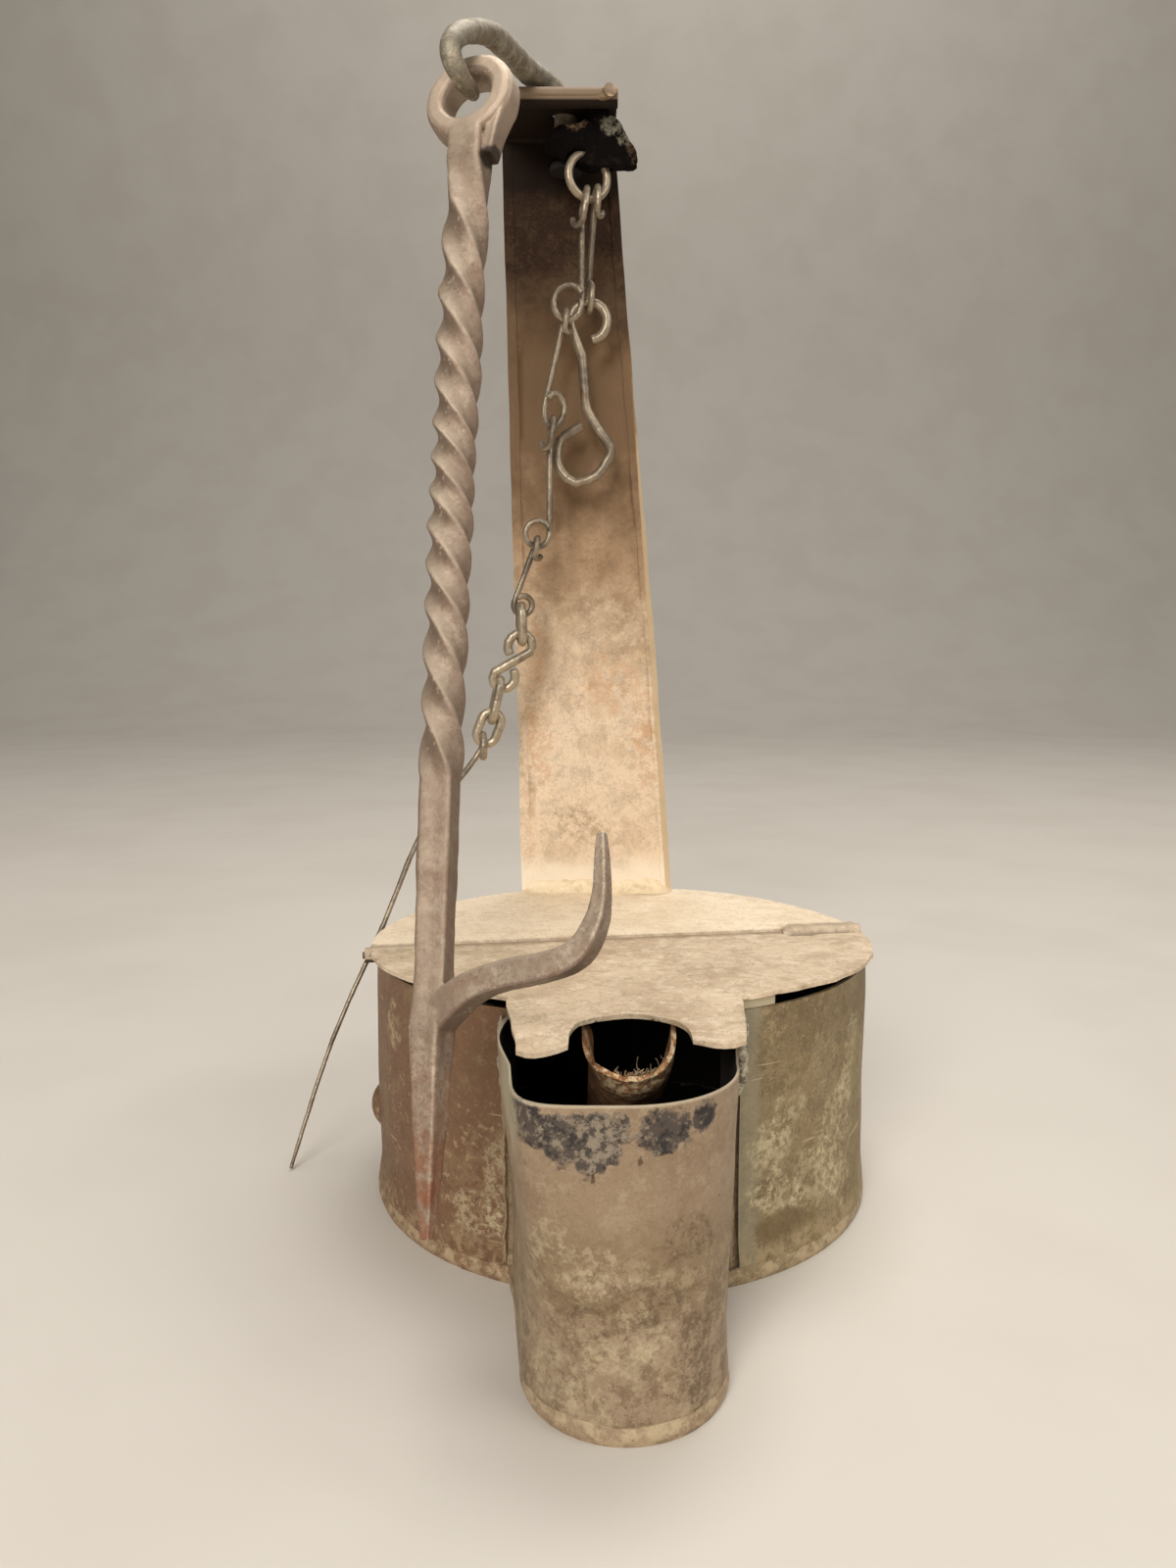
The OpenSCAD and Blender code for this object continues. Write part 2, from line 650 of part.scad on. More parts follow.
module long_link_left() {
    wire_link(left_at, chain_at[1], link_wire, ring_wire, [1.7, 3.2], [2.5, 2.9], edge_on, -90);
}

module link_3() {
    wire_link(chain_at[1], chain_at[2], link_wire, link_wire, [1.6, 1.8], [1.8, 2.8], edge_on);
}

module link_4() {
    wire_link(chain_at[2], chain_at[3], link_wire, link_wire, [1.6, 2.8], [2.2, 2.3], edge_on, -90);
}

module link_5() {
    wire_link(chain_at[3], chain_at[4], link_wire, link_wire, [1.6, 1.8], [1.7, 1.7], edge_on);
}

module small_link(k, top, low, roll) {
    from = chain_at[3 + k];
    to = chain_at[4 + k];
    path = ring_path(norm(from - to), small_wire, k == 1 ? link_wire : small_wire, top, low);
    color("#8a8176") hang(from, to, roll) wire(path, small_wire);
}

module small_link_2() {
    wire_link(chain_at[5], chain_at[6], small_wire, small_wire, [2.2, 2.4], [2, 2.2], face_on, 180, 240);
}

// Spare hook: a round eye, a bent shank and an open bow
module spare_hook() {
    eye = 3.3;
    eye_z = (spare_wire + link_wire) / 2 + link_play - eye;
    bow = [
        [-1.2, 0, -7.5], [-0.7, 0, -13.6], [-0.4, 0, -16.6], [1.5, 0, -20], [3.5, 0, -22.8], [4, 0, -24.3],
        [3.2, 0, -26], [1.5, 0, -28.4], [-2.3, 0.1, -29.8], [-4.9, 0.4, -27.8], [-5.8, 0.9, -25.2],
        [-5.2, 1.6, -22], [-3.2, 2.2, -20.4], [-1.3, 2.6, -19.2]
    ];
    color("#81776b") translate(spare_at)
        wire(concat(arc([0, 0, eye_z], [eye, eye], -80, 200, 14), curve(bow, 2)), spare_wire);
}

// Wick pick: an eye on the last small link and a long bent wire tapering to a point on the table
module wick_pick() {
    eye = [1.5, 2.1];
    top = chain_at[8];
    eye_z = (pick_d + small_wire) / 2 + link_play - eye[1];
    loop = [for (q = arc([0, 0, eye_z], eye, 270, 0, 9)) top + turn_z(q, edge_on)];
    at_rim = pick_rim * [cos(162), sin(162), 0] + [0, 0, drum_h];
    shaft = curve([loop[9], loop[9] + [-1.2, -0.6, -2.4], (loop[9] + at_rim) / 2 + [-2.2, 0.4, 0], at_rim,
        (at_rim + pick_tip) / 2 + [-1.3, 0.4, 0], pick_tip], 3);
    path = concat(loop, [for (i = [1:len(shaft) - 1]) shaft[i]]);
    color("#7d6f5f") skin(wire_rings(path, pick_d / 2, pick_d / 5, 8, [0, 1, 0]));
}

base_plate();
drum_wall();
spout_wall();
rear_cover();
lid();
hinge_pin();
wick_support();
wick();
upright();
upright_solder();
top_wire();
swivel_block();
swivel_hook();
hanger();
chain_ring();
long_link_right();
spare_hook();
long_link_left();
link_3();
link_4();
link_5();
small_link(1, [1.5, 1.7], [1.5, 1.7], edge_on);  // small_link_1
small_link_2();
small_link(3, [1.6, 1.9], [1.6, 1.9], edge_on);  // small_link_3
small_link(4, [1.8, 1.7], [1.8, 1.6], face_on);  // small_link_4
wick_pick();
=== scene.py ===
"""Dresses the betty lamp: aged tinplate, forged iron, wire chain and the rest of a wick."""

import json
import math
import random

import bmesh
import bpy
import numpy as np
from mathutils import Matrix, Vector, noise


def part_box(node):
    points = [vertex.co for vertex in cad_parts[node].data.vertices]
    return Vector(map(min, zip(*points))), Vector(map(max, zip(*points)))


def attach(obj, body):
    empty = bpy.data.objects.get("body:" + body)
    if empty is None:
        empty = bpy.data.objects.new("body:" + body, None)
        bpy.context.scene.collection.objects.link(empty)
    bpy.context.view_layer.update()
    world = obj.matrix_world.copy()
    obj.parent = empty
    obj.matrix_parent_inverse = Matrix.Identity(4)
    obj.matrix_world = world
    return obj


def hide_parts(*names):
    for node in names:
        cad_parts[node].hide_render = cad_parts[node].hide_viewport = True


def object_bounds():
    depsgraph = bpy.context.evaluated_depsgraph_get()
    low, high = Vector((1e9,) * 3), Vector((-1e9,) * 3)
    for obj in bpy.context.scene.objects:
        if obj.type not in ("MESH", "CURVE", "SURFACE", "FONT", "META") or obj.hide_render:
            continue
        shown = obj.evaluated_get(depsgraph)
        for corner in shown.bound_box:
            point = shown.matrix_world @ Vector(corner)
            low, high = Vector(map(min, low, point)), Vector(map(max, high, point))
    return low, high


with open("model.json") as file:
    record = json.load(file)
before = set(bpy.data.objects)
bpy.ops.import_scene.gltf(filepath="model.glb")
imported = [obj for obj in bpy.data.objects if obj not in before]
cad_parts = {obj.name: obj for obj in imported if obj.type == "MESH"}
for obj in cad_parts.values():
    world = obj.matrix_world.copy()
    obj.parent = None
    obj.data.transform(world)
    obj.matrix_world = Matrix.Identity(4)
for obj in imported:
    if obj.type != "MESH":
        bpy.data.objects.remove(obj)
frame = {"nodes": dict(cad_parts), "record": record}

cad_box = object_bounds()
MM = 0.001
BOX_LOW, BOX_HIGH = [np.array(c) / MM for c in cad_box]
BODY = {
    node: body
    for body, members in frame["record"]["behaviour"]["bodies"].items()
    for node in members
}

# Camera, as the photograph was taken
IMAGE_HEIGHT = 1600
FOCAL_PX = 1177
SENSOR = 36
CAMERA_AT = (-0.0067, -0.1867, 0.0871)
CAMERA_DOWN = 6.65
CAMERA_YAW = 0.43


def add_object(name, data):
    made = bpy.data.objects.new(name, data)
    bpy.context.scene.collection.objects.link(made)
    return made


def make_camera():
    camera = add_object("camera", bpy.data.cameras.new("camera"))
    camera.data.sensor_width = SENSOR
    camera.data.lens = SENSOR * FOCAL_PX / IMAGE_HEIGHT
    camera.data.clip_start = 0.01
    camera.location = CAMERA_AT
    camera.rotation_euler = (math.radians(90 - CAMERA_DOWN), 0, math.radians(-CAMERA_YAW))
    bpy.context.scene.camera = camera


# The hinge line across the font, in millimetres
HINGE_AT = (0.0, -0.5)
HINGE_SKEW = math.radians(8.5)

# Materials


def tint(code):
    """A linear colour from its usual six-digit code."""
    parts = [int(code[i : i + 2], 16) / 255 for i in (1, 3, 5)]
    return (*[c / 12.92 if c < 0.04045 else ((c + 0.055) / 1.055) ** 2.4 for c in parts], 1)


# A patch fades out between these shares of its radii
PATCH_EDGE = (1.15, 0.75)


class Paint:
    """One procedural material, built up in layers from masks in millimetres of the frame."""

    def __init__(self, name, colour, rough, metal):
        self.mat = bpy.data.materials.new(name)
        self.mat.use_nodes = True
        self.tree = self.mat.node_tree
        self.shader = self.tree.nodes["Principled BSDF"]
        self.shader.inputs["Metallic"].default_value = metal
        self.mm = self.vector("SCALE", self.add("ShaderNodeTexCoord").outputs["Object"], 1 / MM)
        self.colour = tint(colour)
        self.rough = rough
        self.height = None

    def add(self, kind, **props):
        made = self.tree.nodes.new(kind)
        for key, value in props.items():
            setattr(made, key, value)
        return made

    def put(self, socket, value):
        if isinstance(value, bpy.types.NodeSocket):
            self.tree.links.new(value, socket)
        else:
            socket.default_value = value

    def vector(self, operation, a, b):
        made = self.add("ShaderNodeVectorMath", operation=operation)
        self.put(made.inputs[0], a)
        self.put(made.inputs["Scale"] if operation == "SCALE" else made.inputs[1], b)
        return made.outputs["Value"] if operation == "LENGTH" else made.outputs["Vector"]

    def maths(self, operation, a, b=0.0):
        made = self.add("ShaderNodeMath", operation=operation)
        self.put(made.inputs[0], a)
        self.put(made.inputs[1], b)
        return made.outputs[0]

    def plus(self, a, b, share):
        """One value plus a share of another."""
        return self.maths("ADD", a, self.maths("MULTIPLY", b, share))

    def axis(self, name):
        made = self.add("ShaderNodeSeparateXYZ")
        self.put(made.inputs[0], self.mm)
        return made.outputs[name]

    def noise(self, size, seed, detail=4.0, stretch=(1, 1, 1), rough=0.55):
        """Cloudy noise from 0 to 1, whose features are about size millimetres."""
        made = self.add("ShaderNodeTexNoise", noise_dimensions="4D")
        self.put(made.inputs["Vector"], self.vector("MULTIPLY", self.mm, stretch))
        made.inputs["W"].default_value = seed
        made.inputs["Scale"].default_value = 1 / size
        made.inputs["Detail"].default_value = detail
        made.inputs["Roughness"].default_value = rough
        return made.outputs["Fac"]

    def band(self, value, low, high):
        """0 below low, 1 above high, smooth between; the other way round if low is above high."""
        made = self.add("ShaderNodeMapRange", interpolation_type="SMOOTHSTEP")
        self.put(made.inputs["Value"], value)
        flip = low > high
        made.inputs["From Min"].default_value = min(low, high)
        made.inputs["From Max"].default_value = max(low, high)
        made.inputs["To Min"].default_value = 1.0 if flip else 0.0
        made.inputs["To Max"].default_value = 0.0 if flip else 1.0
        return made.outputs["Result"]

    def spot(self, centre, radii, seed, ragged=0.7, grain=3.0):
        """A ragged patch round a point."""
        off = self.vector("SUBTRACT", self.mm, centre)
        far = self.vector("LENGTH", self.vector("DIVIDE", off, radii), (0, 0, 0))
        uneven = self.maths("SUBTRACT", self.noise(grain, seed), 0.5)
        return self.band(self.plus(far, uneven, 2 * ragged), *PATCH_EDGE)

    def both(self, a, b):
        return self.maths("MULTIPLY", a, b)

    def edges(self, low, high):
        """The proud edges of a fine mesh."""
        return self.band(self.add("ShaderNodeNewGeometry").outputs["Pointiness"], low, high)

    def dust_and_light_facing(self, low, high):
        """The faces that look up, where dust settles and painted light is laid, or down, where painted shade
        is laid, if low is above high.
        """
        made = self.add("ShaderNodeSeparateXYZ")
        self.put(made.inputs[0], self.add("ShaderNodeTexCoord").outputs["Normal"])
        return self.band(made.outputs["Z"], low, high)

    def inner(self):
        """The faces that look into the font or down from the covers."""
        return self.add("ShaderNodeAttribute", attribute_name="inner").outputs["Fac"]

    def over(self, mask, colour, rough=None, share=1.0):
        """Lays a colour over what is there, where the mask says."""
        if share != 1.0:
            mask = self.both(mask, share)
        made = self.add("ShaderNodeMix", data_type="RGBA")
        self.put(made.inputs[0], mask)
        self.put(made.inputs[6], self.colour)
        self.put(made.inputs[7], tint(colour))
        self.colour = made.outputs[2]
        if rough is not None:
            made = self.add("ShaderNodeMix", data_type="FLOAT")
            self.put(made.inputs[0], mask)
            self.put(made.inputs[2], self.rough)
            self.put(made.inputs[3], rough)
            self.rough = made.outputs[0]

    def relief(self, value, amount):
        """Adds a bump of so many millimetres."""
        part = self.maths("MULTIPLY", value, amount)
        self.height = part if self.height is None else self.maths("ADD", self.height, part)

    def done(self):
        self.put(self.shader.inputs["Base Color"], self.colour)
        self.put(self.shader.inputs["Roughness"], self.rough)
        if self.height is not None:
            bump = self.add("ShaderNodeBump")
            bump.inputs["Distance"].default_value = MM
            self.put(bump.inputs["Height"], self.height)
            self.put(self.shader.inputs["Normal"], bump.outputs["Normal"])
        return self.mat


# Near black for the faces that look into the font or down from the covers: soot, and painted shade where no
# light reaches
SOOT_AND_SHADE = "#15100c"


def grime(p, seed, dark, pale, rust, strength=1.0):
    """The mottling that all the old sheet has: clouds, fine stains, pale crust, grit and specks."""
    p.over(p.band(p.noise(20, seed, 6, rough=0.6), 0.42, 0.62), dark, 0.6, 0.5 * strength)
    p.over(p.band(p.noise(4, seed + 1, 10, rough=0.8), 0.48, 0.57), dark, 0.66, 0.5 * strength)
    p.over(p.band(p.noise(3, seed + 2, 10, rough=0.8), 0.51, 0.58), pale, 0.75, 0.5 * strength)
    p.over(p.band(p.noise(0.5, seed + 3, 5, rough=0.75), 0.48, 0.62), dark, 0.7, 0.45 * strength)
    p.over(p.band(p.noise(0.4, seed + 4, 5, rough=0.75), 0.53, 0.63), pale, 0.78, 0.45 * strength)
    p.over(p.band(p.noise(0.9, seed + 5, 3), 0.68, 0.74), rust, 0.85, 0.7)
    p.relief(p.noise(0.35, seed + 6, 4, rough=0.7), 0.05)
    p.relief(p.noise(3, seed + 2, 10, rough=0.8), 0.2)


def crusted(p, seed, colour, share, patches):
    """Pale or dark crust, broken up finely, over ragged patches."""
    fine = p.band(p.noise(1.2, seed, 10, rough=0.85), 0.46, 0.56)
    for i, (centre, radii) in enumerate(patches):
        p.over(p.both(p.spot(centre, radii, seed + 1 + i, 1.4, 4), fine), colour, 0.75, share)


# Where pale crust sits on the font wall: centres and radii
DRUM_CRUST = (
    ((22.4, -32.6, 22.4), (3.6, 4, 3.4)), ((20.4, -33.8, 19), (3.4, 4, 4.4)),
    ((18.6, -34.8, 15.5), (2.4, 3, 7)), ((21.4, -33.2, 11), (4, 4, 3)),
    ((26.7, -29, 12), (5.5, 6, 6)), ((31, -24, 15), (4.5, 6, 9)),
    ((34, -19, 25), (3, 6, 7)), ((-34.4, -19.3, 30.8), (2, 3, 3)),
    ((-20.7, -33.7, 9), (5, 5, 3.6)), ((-17.7, -35.3, 13), (2.4, 4, 7)),
    ((0, 39, 14), (16, 6, 12)), ((-30, 26, 26), (9, 9, 8)),
)


def drum_tin():
    p = Paint("drum_tin", "#968360", 0.46, 0.25)
    x, y, z = (p.axis(k) for k in "XYZ")
    # Browner and darker to the left: the sheet's browner tone and painted shade
    p.over(p.band(x, 12, -16), "#835a40", None, 0.9)
    grime(p, 3, "#69553a", "#b6a47e", "#7a4a26")
    # Again browner and darker to the left, over the mottling: browner tone and painted shade
    p.over(p.band(x, 12, -16), "#7a583f", None, 0.5)
    wavy = p.plus(x, p.noise(3, 19, 6), 2.4)
    seam = p.both(p.both(p.band(x, 13.4, 14.2), p.band(wavy, 19.6, 18.2)), p.band(y, -20, -30))
    p.over(seam, "#a5a189", 0.5, 0.45)
    crusted(p, 20, "#d3c5a0", 0.55, DRUM_CRUST)
    streaks = p.noise(5, 41, 6, (1, 1, 0.16), 0.7)
    p.over(p.both(p.band(x, 16, 32), p.band(streaks, 0.49, 0.6)), "#7c6a39", 0.6, 0.55)
    flecks = p.band(p.noise(1.1, 43, 6, rough=0.7), 0.57, 0.61)
    p.over(p.both(p.both(flecks, p.band(x, 0, -12)), p.band(z, 30, 22)), "#bfa680", 0.8, 0.5)
    p.over(p.band(p.noise(1.1, 44, 2, (0.1, 0.1, 1.6)), 0.68, 0.72), "#cdbd97", 0.7, 0.6)
    p.over(p.spot((22, -33, 6.4), (5, 6, 2.4), 45, 1.3, 5), "#66522f", 0.5, 0.6)
    low = p.both(p.band(z, 7, 3), p.band(p.noise(2.2, 42, 9, rough=0.8), 0.47, 0.55))
    p.over(low, "#bfa983", 0.8, 0.5)
    # soot and painted shade on the faces inside the font
    p.over(p.inner(), SOOT_AND_SHADE, 0.85, 0.96)
    return p.done()


# Where the spout is stained dark, crusted pale and sooted: centres and radii, and the drips' centres
SPOUT_STAINS = (
    ((-3.5, -68.9, 14), (6, 5, 2.4)), ((1.4, -68.8, 16.9), (4, 5, 2)), ((5, -67.4, 22.7), (4, 5, 2.6)),
    ((6.4, -66.5, 10), (2.6, 5, 8)),
)
SPOUT_CRUST = (
    ((-10.2, -65.6, 23), (2.6, 5, 2.6)), ((-6, -68, 21.5), (4, 5, 1.8)), ((-3.5, -68.9, 18.9), (6, 5, 1.1)),
    ((-2.6, -69, 10), (4.4, 5, 2)), ((1.9, -68.7, 11.7), (3, 5, 2)), ((-9, -66, 6), (4, 5, 4)),
)
SPOUT_SOOT = (
    ((-13.2, -67, 37.3), (2.2, 6, 1.7)), ((-11.3, -68, 35.9), (2.6, 6, 2.2)),
    ((-8.6, -68.5, 35.4), (3.2, 6, 2.6)), ((-5.6, -69, 33.8), (3, 6, 2.5)),
    ((-4.6, -69, 36.3), (3.6, 6, 1.8)), ((2.6, -68.5, 35.8), (3.2, 6, 2.3)),
    ((6.8, -66.5, 36.7), (1.2, 6, 1.8)),
)
SPOUT_DRIPS = ((-5.3, -68.5, 30.7), (-0.2, -69, 32.7), (-12.6, -63.4, 31.6))


def spout_tin():
    p = Paint("spout_tin", "#a38c72", 0.42, 0.3)
    z = p.axis("Z")
    grime(p, 53, "#836c53", "#bfae90", "#6d4a30", 0.7)
    lower = p.band(z, 27, 15)
    p.over(p.both(p.band(z, 12, 16), p.band(z, 28, 22)), "#7f694a", 0.5, 0.45)
    p.over(p.both(lower, p.band(p.noise(3, 61, 10, rough=0.8), 0.48, 0.55)), "#6b553a", 0.62, 0.52)
    p.over(p.both(lower, p.band(p.noise(3, 62, 10, rough=0.8), 0.515, 0.565)), "#c6b592", 0.75, 0.45)
    crusted(p, 63, "#5b4831", 0.6, SPOUT_STAINS)
    crusted(p, 66, "#d3c3a2", 0.4, SPOUT_CRUST)
    soot = None
    for i, (centre, radii) in enumerate(SPOUT_SOOT):
        patch = p.spot(centre, radii, 70 + i, 1.1, 1.4)
        soot = patch if soot is None else p.maths("MAXIMUM", soot, patch)
    p.over(soot, "#4d443f", 0.75, 0.93)
    bare = p.plus(p.noise(1.3, 85, 9, rough=0.8), p.spot((-4.4, -68.5, 35), (4.4, 6, 3), 86, 0.4), 0.07)
    p.over(p.both(soot, p.band(bare, 0.51, 0.57)), "#9b8d79", 0.8, 0.9)
    p.over(p.both(soot, p.band(p.noise(1.6, 87, 8, rough=0.75), 0.5, 0.57)), "#262223", 0.7, 0.8)
    for i, centre in enumerate(SPOUT_DRIPS):
        p.over(p.spot(centre, (0.26, 3, 0.55), 90 + i, 1.6, 0.4), "#4a3222", 0.8, 0.75)
    # A pale line along the rim's top edge: worn bare metal and a painted highlight
    p.over(p.band(z, 38.5, 38.8), "#d3c6ad", 0.4, 0.6)
    p.relief(p.both(soot, p.noise(0.8, 79, 5)), 0.3)
    p.over(p.spot((17.6, -35.5, 39.6), (4.6, 4.6, 1.8), 80, 0.2), "#eadcba", 0.8, 0.9)
    # soot and painted shade on the faces inside the spout
    p.over(p.inner(), SOOT_AND_SHADE, 0.85, 0.96)
    p.over(p.spot((-15.5, -59, 35.5), (3, 9, 7), 81, 0.2), "#b3aa90", 0.7, 0.85)
    return p.done()


def base_tin():
    p = Paint("base_tin", "#a8946f", 0.52, 0.2)
    x, y = p.axis("X"), p.axis("Y")
    p.over(p.both(p.band(x, 8, -12), p.band(y, -44, -38)), "#966c4f", None, 0.8)
    p.over(p.band(y, -40, -46), "#a88f74", None, 0.9)
    grime(p, 83, "#7b644a", "#c6b593", "#7a4a26", 0.8)
    p.over(p.band(p.noise(2.2, 90, 9, rough=0.8), 0.46, 0.55), "#d3bf9b", 0.75, 0.55)
    # soot and painted shade on the faces inside the font
    p.over(p.inner(), SOOT_AND_SHADE, 0.85, 0.96)
    return p.done()


def cover_tin(name, base, dark, shade, seed):
    """Dusty cover: pale and finely speckled, with painted shade to the left and darker along the hinge."""
    p = Paint(name, base, 0.52, 0.1)
    wide = (0.95, 1.05, 1)
    p.over(p.band(p.noise(14, seed, 8, rough=0.65), 0.44, 0.6), dark, 0.6, 0.45)
    # Painted shade: darker to the left, by the share given as shade
    p.over(p.band(p.axis("X"), -2, -26), dark, 0.6, shade)
    p.over(p.band(p.noise(3, seed + 1, 10, wide, 0.82), 0.48, 0.57), dark, 0.62, 0.5)
    p.over(p.band(p.noise(2.2, seed + 2, 10, wide, 0.82), 0.5, 0.57), "#f4e6cd", 0.7, 0.45)
    p.over(p.band(p.noise(0.5, seed + 3, 5, wide, 0.75), 0.52, 0.64), "#8d7456", 0.65, 0.4)
    p.over(p.band(p.noise(0.8, seed + 4, 3), 0.67, 0.73), "#6d5236", 0.8, 0.7)
    skew = (-math.sin(HINGE_SKEW), math.cos(HINGE_SKEW), 0)
    dot = p.add("ShaderNodeVectorMath", operation="DOT_PRODUCT")
    p.put(dot.inputs[0], p.mm)
    p.put(dot.inputs[1], skew)
    off = p.maths("ABSOLUTE", p.maths("ADD", dot.outputs["Value"], -HINGE_AT[1] * skew[1]))
    p.over(p.band(p.plus(off, p.noise(2, seed + 5, 6), 4), 4.8, 2.2), "#7d6448", 0.65, 0.65)
    p.relief(p.noise(1.0, seed + 6, 8, wide, 0.75), 0.1)
    p.relief(p.noise(0.3, seed + 7, 3), 0.03)
    # soot and painted shade on the faces under the cover
    p.over(p.inner(), SOOT_AND_SHADE, 0.85, 0.9)
    return p.done()


# Where the strap's front is rusty: x, height, half width and half height
STRAP_RUST = (
    (-0.7, 82, 7, 4), (-3.7, 77, 5, 4), (-14.6, 75, 2.4, 16), (5.8, 74, 3, 6), (6.8, 66, 2.4, 9),
    (-16.4, 58, 1.2, 20),
)


def strap_tin():
    p = Paint("strap_tin", "#ecd5b9", 0.5, 0.15)
    p.shader.inputs["Specular IOR Level"].default_value = 0.2
    x, z = p.axis("X"), p.axis("Z")
    wavy = p.plus(z, p.maths("SUBTRACT", p.noise(12, 120, 8, rough=0.65), 0.5), 50)
    # Painted shade: darker in steps up the strap towards the shelf
    p.over(p.band(wavy, 68, 106), "#a58666", 0.46, 0.95)
    p.over(p.band(wavy, 100, 124), "#6d5338", 0.46, 0.95)
    p.over(p.band(wavy, 136, 162), "#2a180c", 0.75, 0.95)
    p.over(p.band(p.noise(3, 121, 10, rough=0.8), 0.49, 0.57), "#6b5438", 0.55, 0.22)
    p.over(p.band(p.noise(0.5, 122, 5, rough=0.75), 0.48, 0.62), "#5d4830", 0.6, 0.22)
    below = p.band(wavy, 108, 86)
    p.over(p.both(below, p.band(p.noise(2.6, 123, 10, rough=0.8), 0.5, 0.57)), "#f3dfbc", 0.7, 0.35)
    tan = p.band(p.noise(7, 126, 8, rough=0.7), 0.5, 0.6)
    p.over(p.both(below, tan), "#c0a17c", 0.55, 0.3)
    rusty = p.band(p.noise(2, 125, 10, rough=0.8), 0.46, 0.55)
    for i, (at, height, wide, tall) in enumerate(STRAP_RUST):
        patch = p.spot((at, STRAP_FRONT, height), (wide, 9, tall), 131 + i, 1.2, 4)
        p.over(p.both(patch, rusty), "#cd9c70", 0.65, 0.42)
    p.over(p.both(p.spot((-6.6, STRAP_FRONT, 53.5), (5, 9, 3), 138, 1.2, 4), rusty), "#97794f", 0.6, 0.5)
    # Painted light: near white at the strap's foot, as light from the pale cover
    p.over(p.band(p.plus(z, p.noise(4, 139, 6), 6), 51, 46), "#fbeed8", 0.6, 0.8)
    # Painted highlight: a lighter line down the right hem's rolled edge, brown high up and pale lower down
    edge = p.plus(x, z, 0.074)
    p.over(p.both(p.band(edge, 13.1, 13.4), p.band(z, 172, 168)), "#6d5030", 0.5, 0.5)
    p.over(p.both(p.band(edge, 13.1, 13.4), p.band(wavy, 140, 118)), "#d9c19b", 0.45, 0.5)
    # Painted shade: near black from just under the shelf upward
    shelf = p.band(z, 168, 172)
    p.over(shelf, "#1d120a", 0.75, 0.92)
    p.over(p.both(p.band(z, 178.3, 178.7), p.band(p.axis("Y"), 21, 20.4)), "#84705a", 0.5, 0.9)
    p.relief(p.noise(0.4, 137, 4, rough=0.7), 0.04)
    p.relief(p.noise(3, 121, 10, rough=0.8), 0.14)
    return p.done()


def solder_grey():
    p = Paint("solder_grey", "#efdab6", 0.55, 0.1)
    p.over(p.band(p.noise(3, 141, 9, rough=0.75), 0.48, 0.58), "#d2b78f", 0.6, 0.6)
    p.over(p.band(p.noise(0.9, 142, 6, rough=0.7), 0.5, 0.6), "#f8ecd2", 0.65, 0.6)
    p.relief(p.noise(1.2, 143, 5), 0.12)
    return p.done()


def crud_grey():
    p = Paint("crud_grey", "#b9b19b", 0.7, 0.1)
    p.over(p.band(p.noise(1.2, 145, 8, rough=0.75), 0.48, 0.56), "#4f463a", 0.75, 0.8)
    p.over(p.band(p.noise(0.8, 146, 8, rough=0.75), 0.5, 0.58), "#ddd3b8", 0.75, 0.7)
    p.over(p.band(p.axis("Z"), 29, 26), "#9a8159", 0.75, 0.75)
    p.relief(p.noise(0.6, 147, 5), 0.3)
    return p.done()


def forged(name, base, seed, rust):
    """Forged iron: scaled, pitted and grained. Its users lay pale on the edges: wear and painted highlight.
    """
    p = Paint(name, base, 0.44, 0.35)
    p.over(p.band(p.noise(9, seed, 8, rough=0.65), 0.44, 0.6), "#84705f", 0.5, 0.6)
    p.over(p.band(p.noise(2.4, seed + 1, 10, rough=0.8), 0.5, 0.57), "#cbbaa4", 0.48, 0.45)
    p.over(p.band(p.noise(3.4, seed + 2, 9, rough=0.75), 0.52, 0.6), rust, 0.65, 0.5)
    p.over(p.band(p.noise(0.5, seed + 3, 5, rough=0.75), 0.5, 0.62), "#5d4a3e", 0.6, 0.5)
    p.relief(p.noise(1.6, seed + 4, 8, rough=0.72), 0.18)
    p.relief(p.noise(0.4, seed + 5, 4), 0.05)
    return p


def hanger_iron():
    p = forged("hanger_iron", "#a08d7a", 151, "#896850")
    x, z = p.axis("X"), p.axis("Z")
    p.over(p.both(p.band(z, 66, 76), p.band(z, 160, 152)), "#8b7663", 0.46, 0.35)
    p.over(p.band(z, 156, 163), "#cdb8a2", 0.46, 0.72)
    plain_bar = p.both(p.band(x, -19, -22), p.both(p.band(z, 84, 70), p.band(z, 40, 48)))
    p.over(plain_bar, "#7a6453", 0.5, 0.6)
    p.over(p.both(p.band(z, 44, 26), p.band(p.noise(4, 160, 9, rough=0.7), 0.4, 0.56)), "#8a5233", 0.62, 0.8)
    # Paler on the faces that look up: dust and painted light
    p.over(p.dust_and_light_facing(0.2, 0.6), "#c4b39c", 0.5, 0.4)
    # Darker on the faces that look down: painted shade
    p.over(p.dust_and_light_facing(0.25, -0.15), "#6b5446", 0.55, 0.45)
    # Pale on the proud edges: wear and painted highlight
    p.over(p.edges(0.53, 0.6), "#d2c2ad", 0.38, 0.45)
    # Painted shade: darker in the hollows of the twist
    p.over(p.edges(0.485, 0.43), "#4d3b30", 0.65, 0.8)
    p.over(p.spot(tuple(hang_place() @ LAP_END), (1.8, 3, 1.6), 163, 0.5, 1.5), "#2a1f18", 0.7, 0.9)
    return p.done()


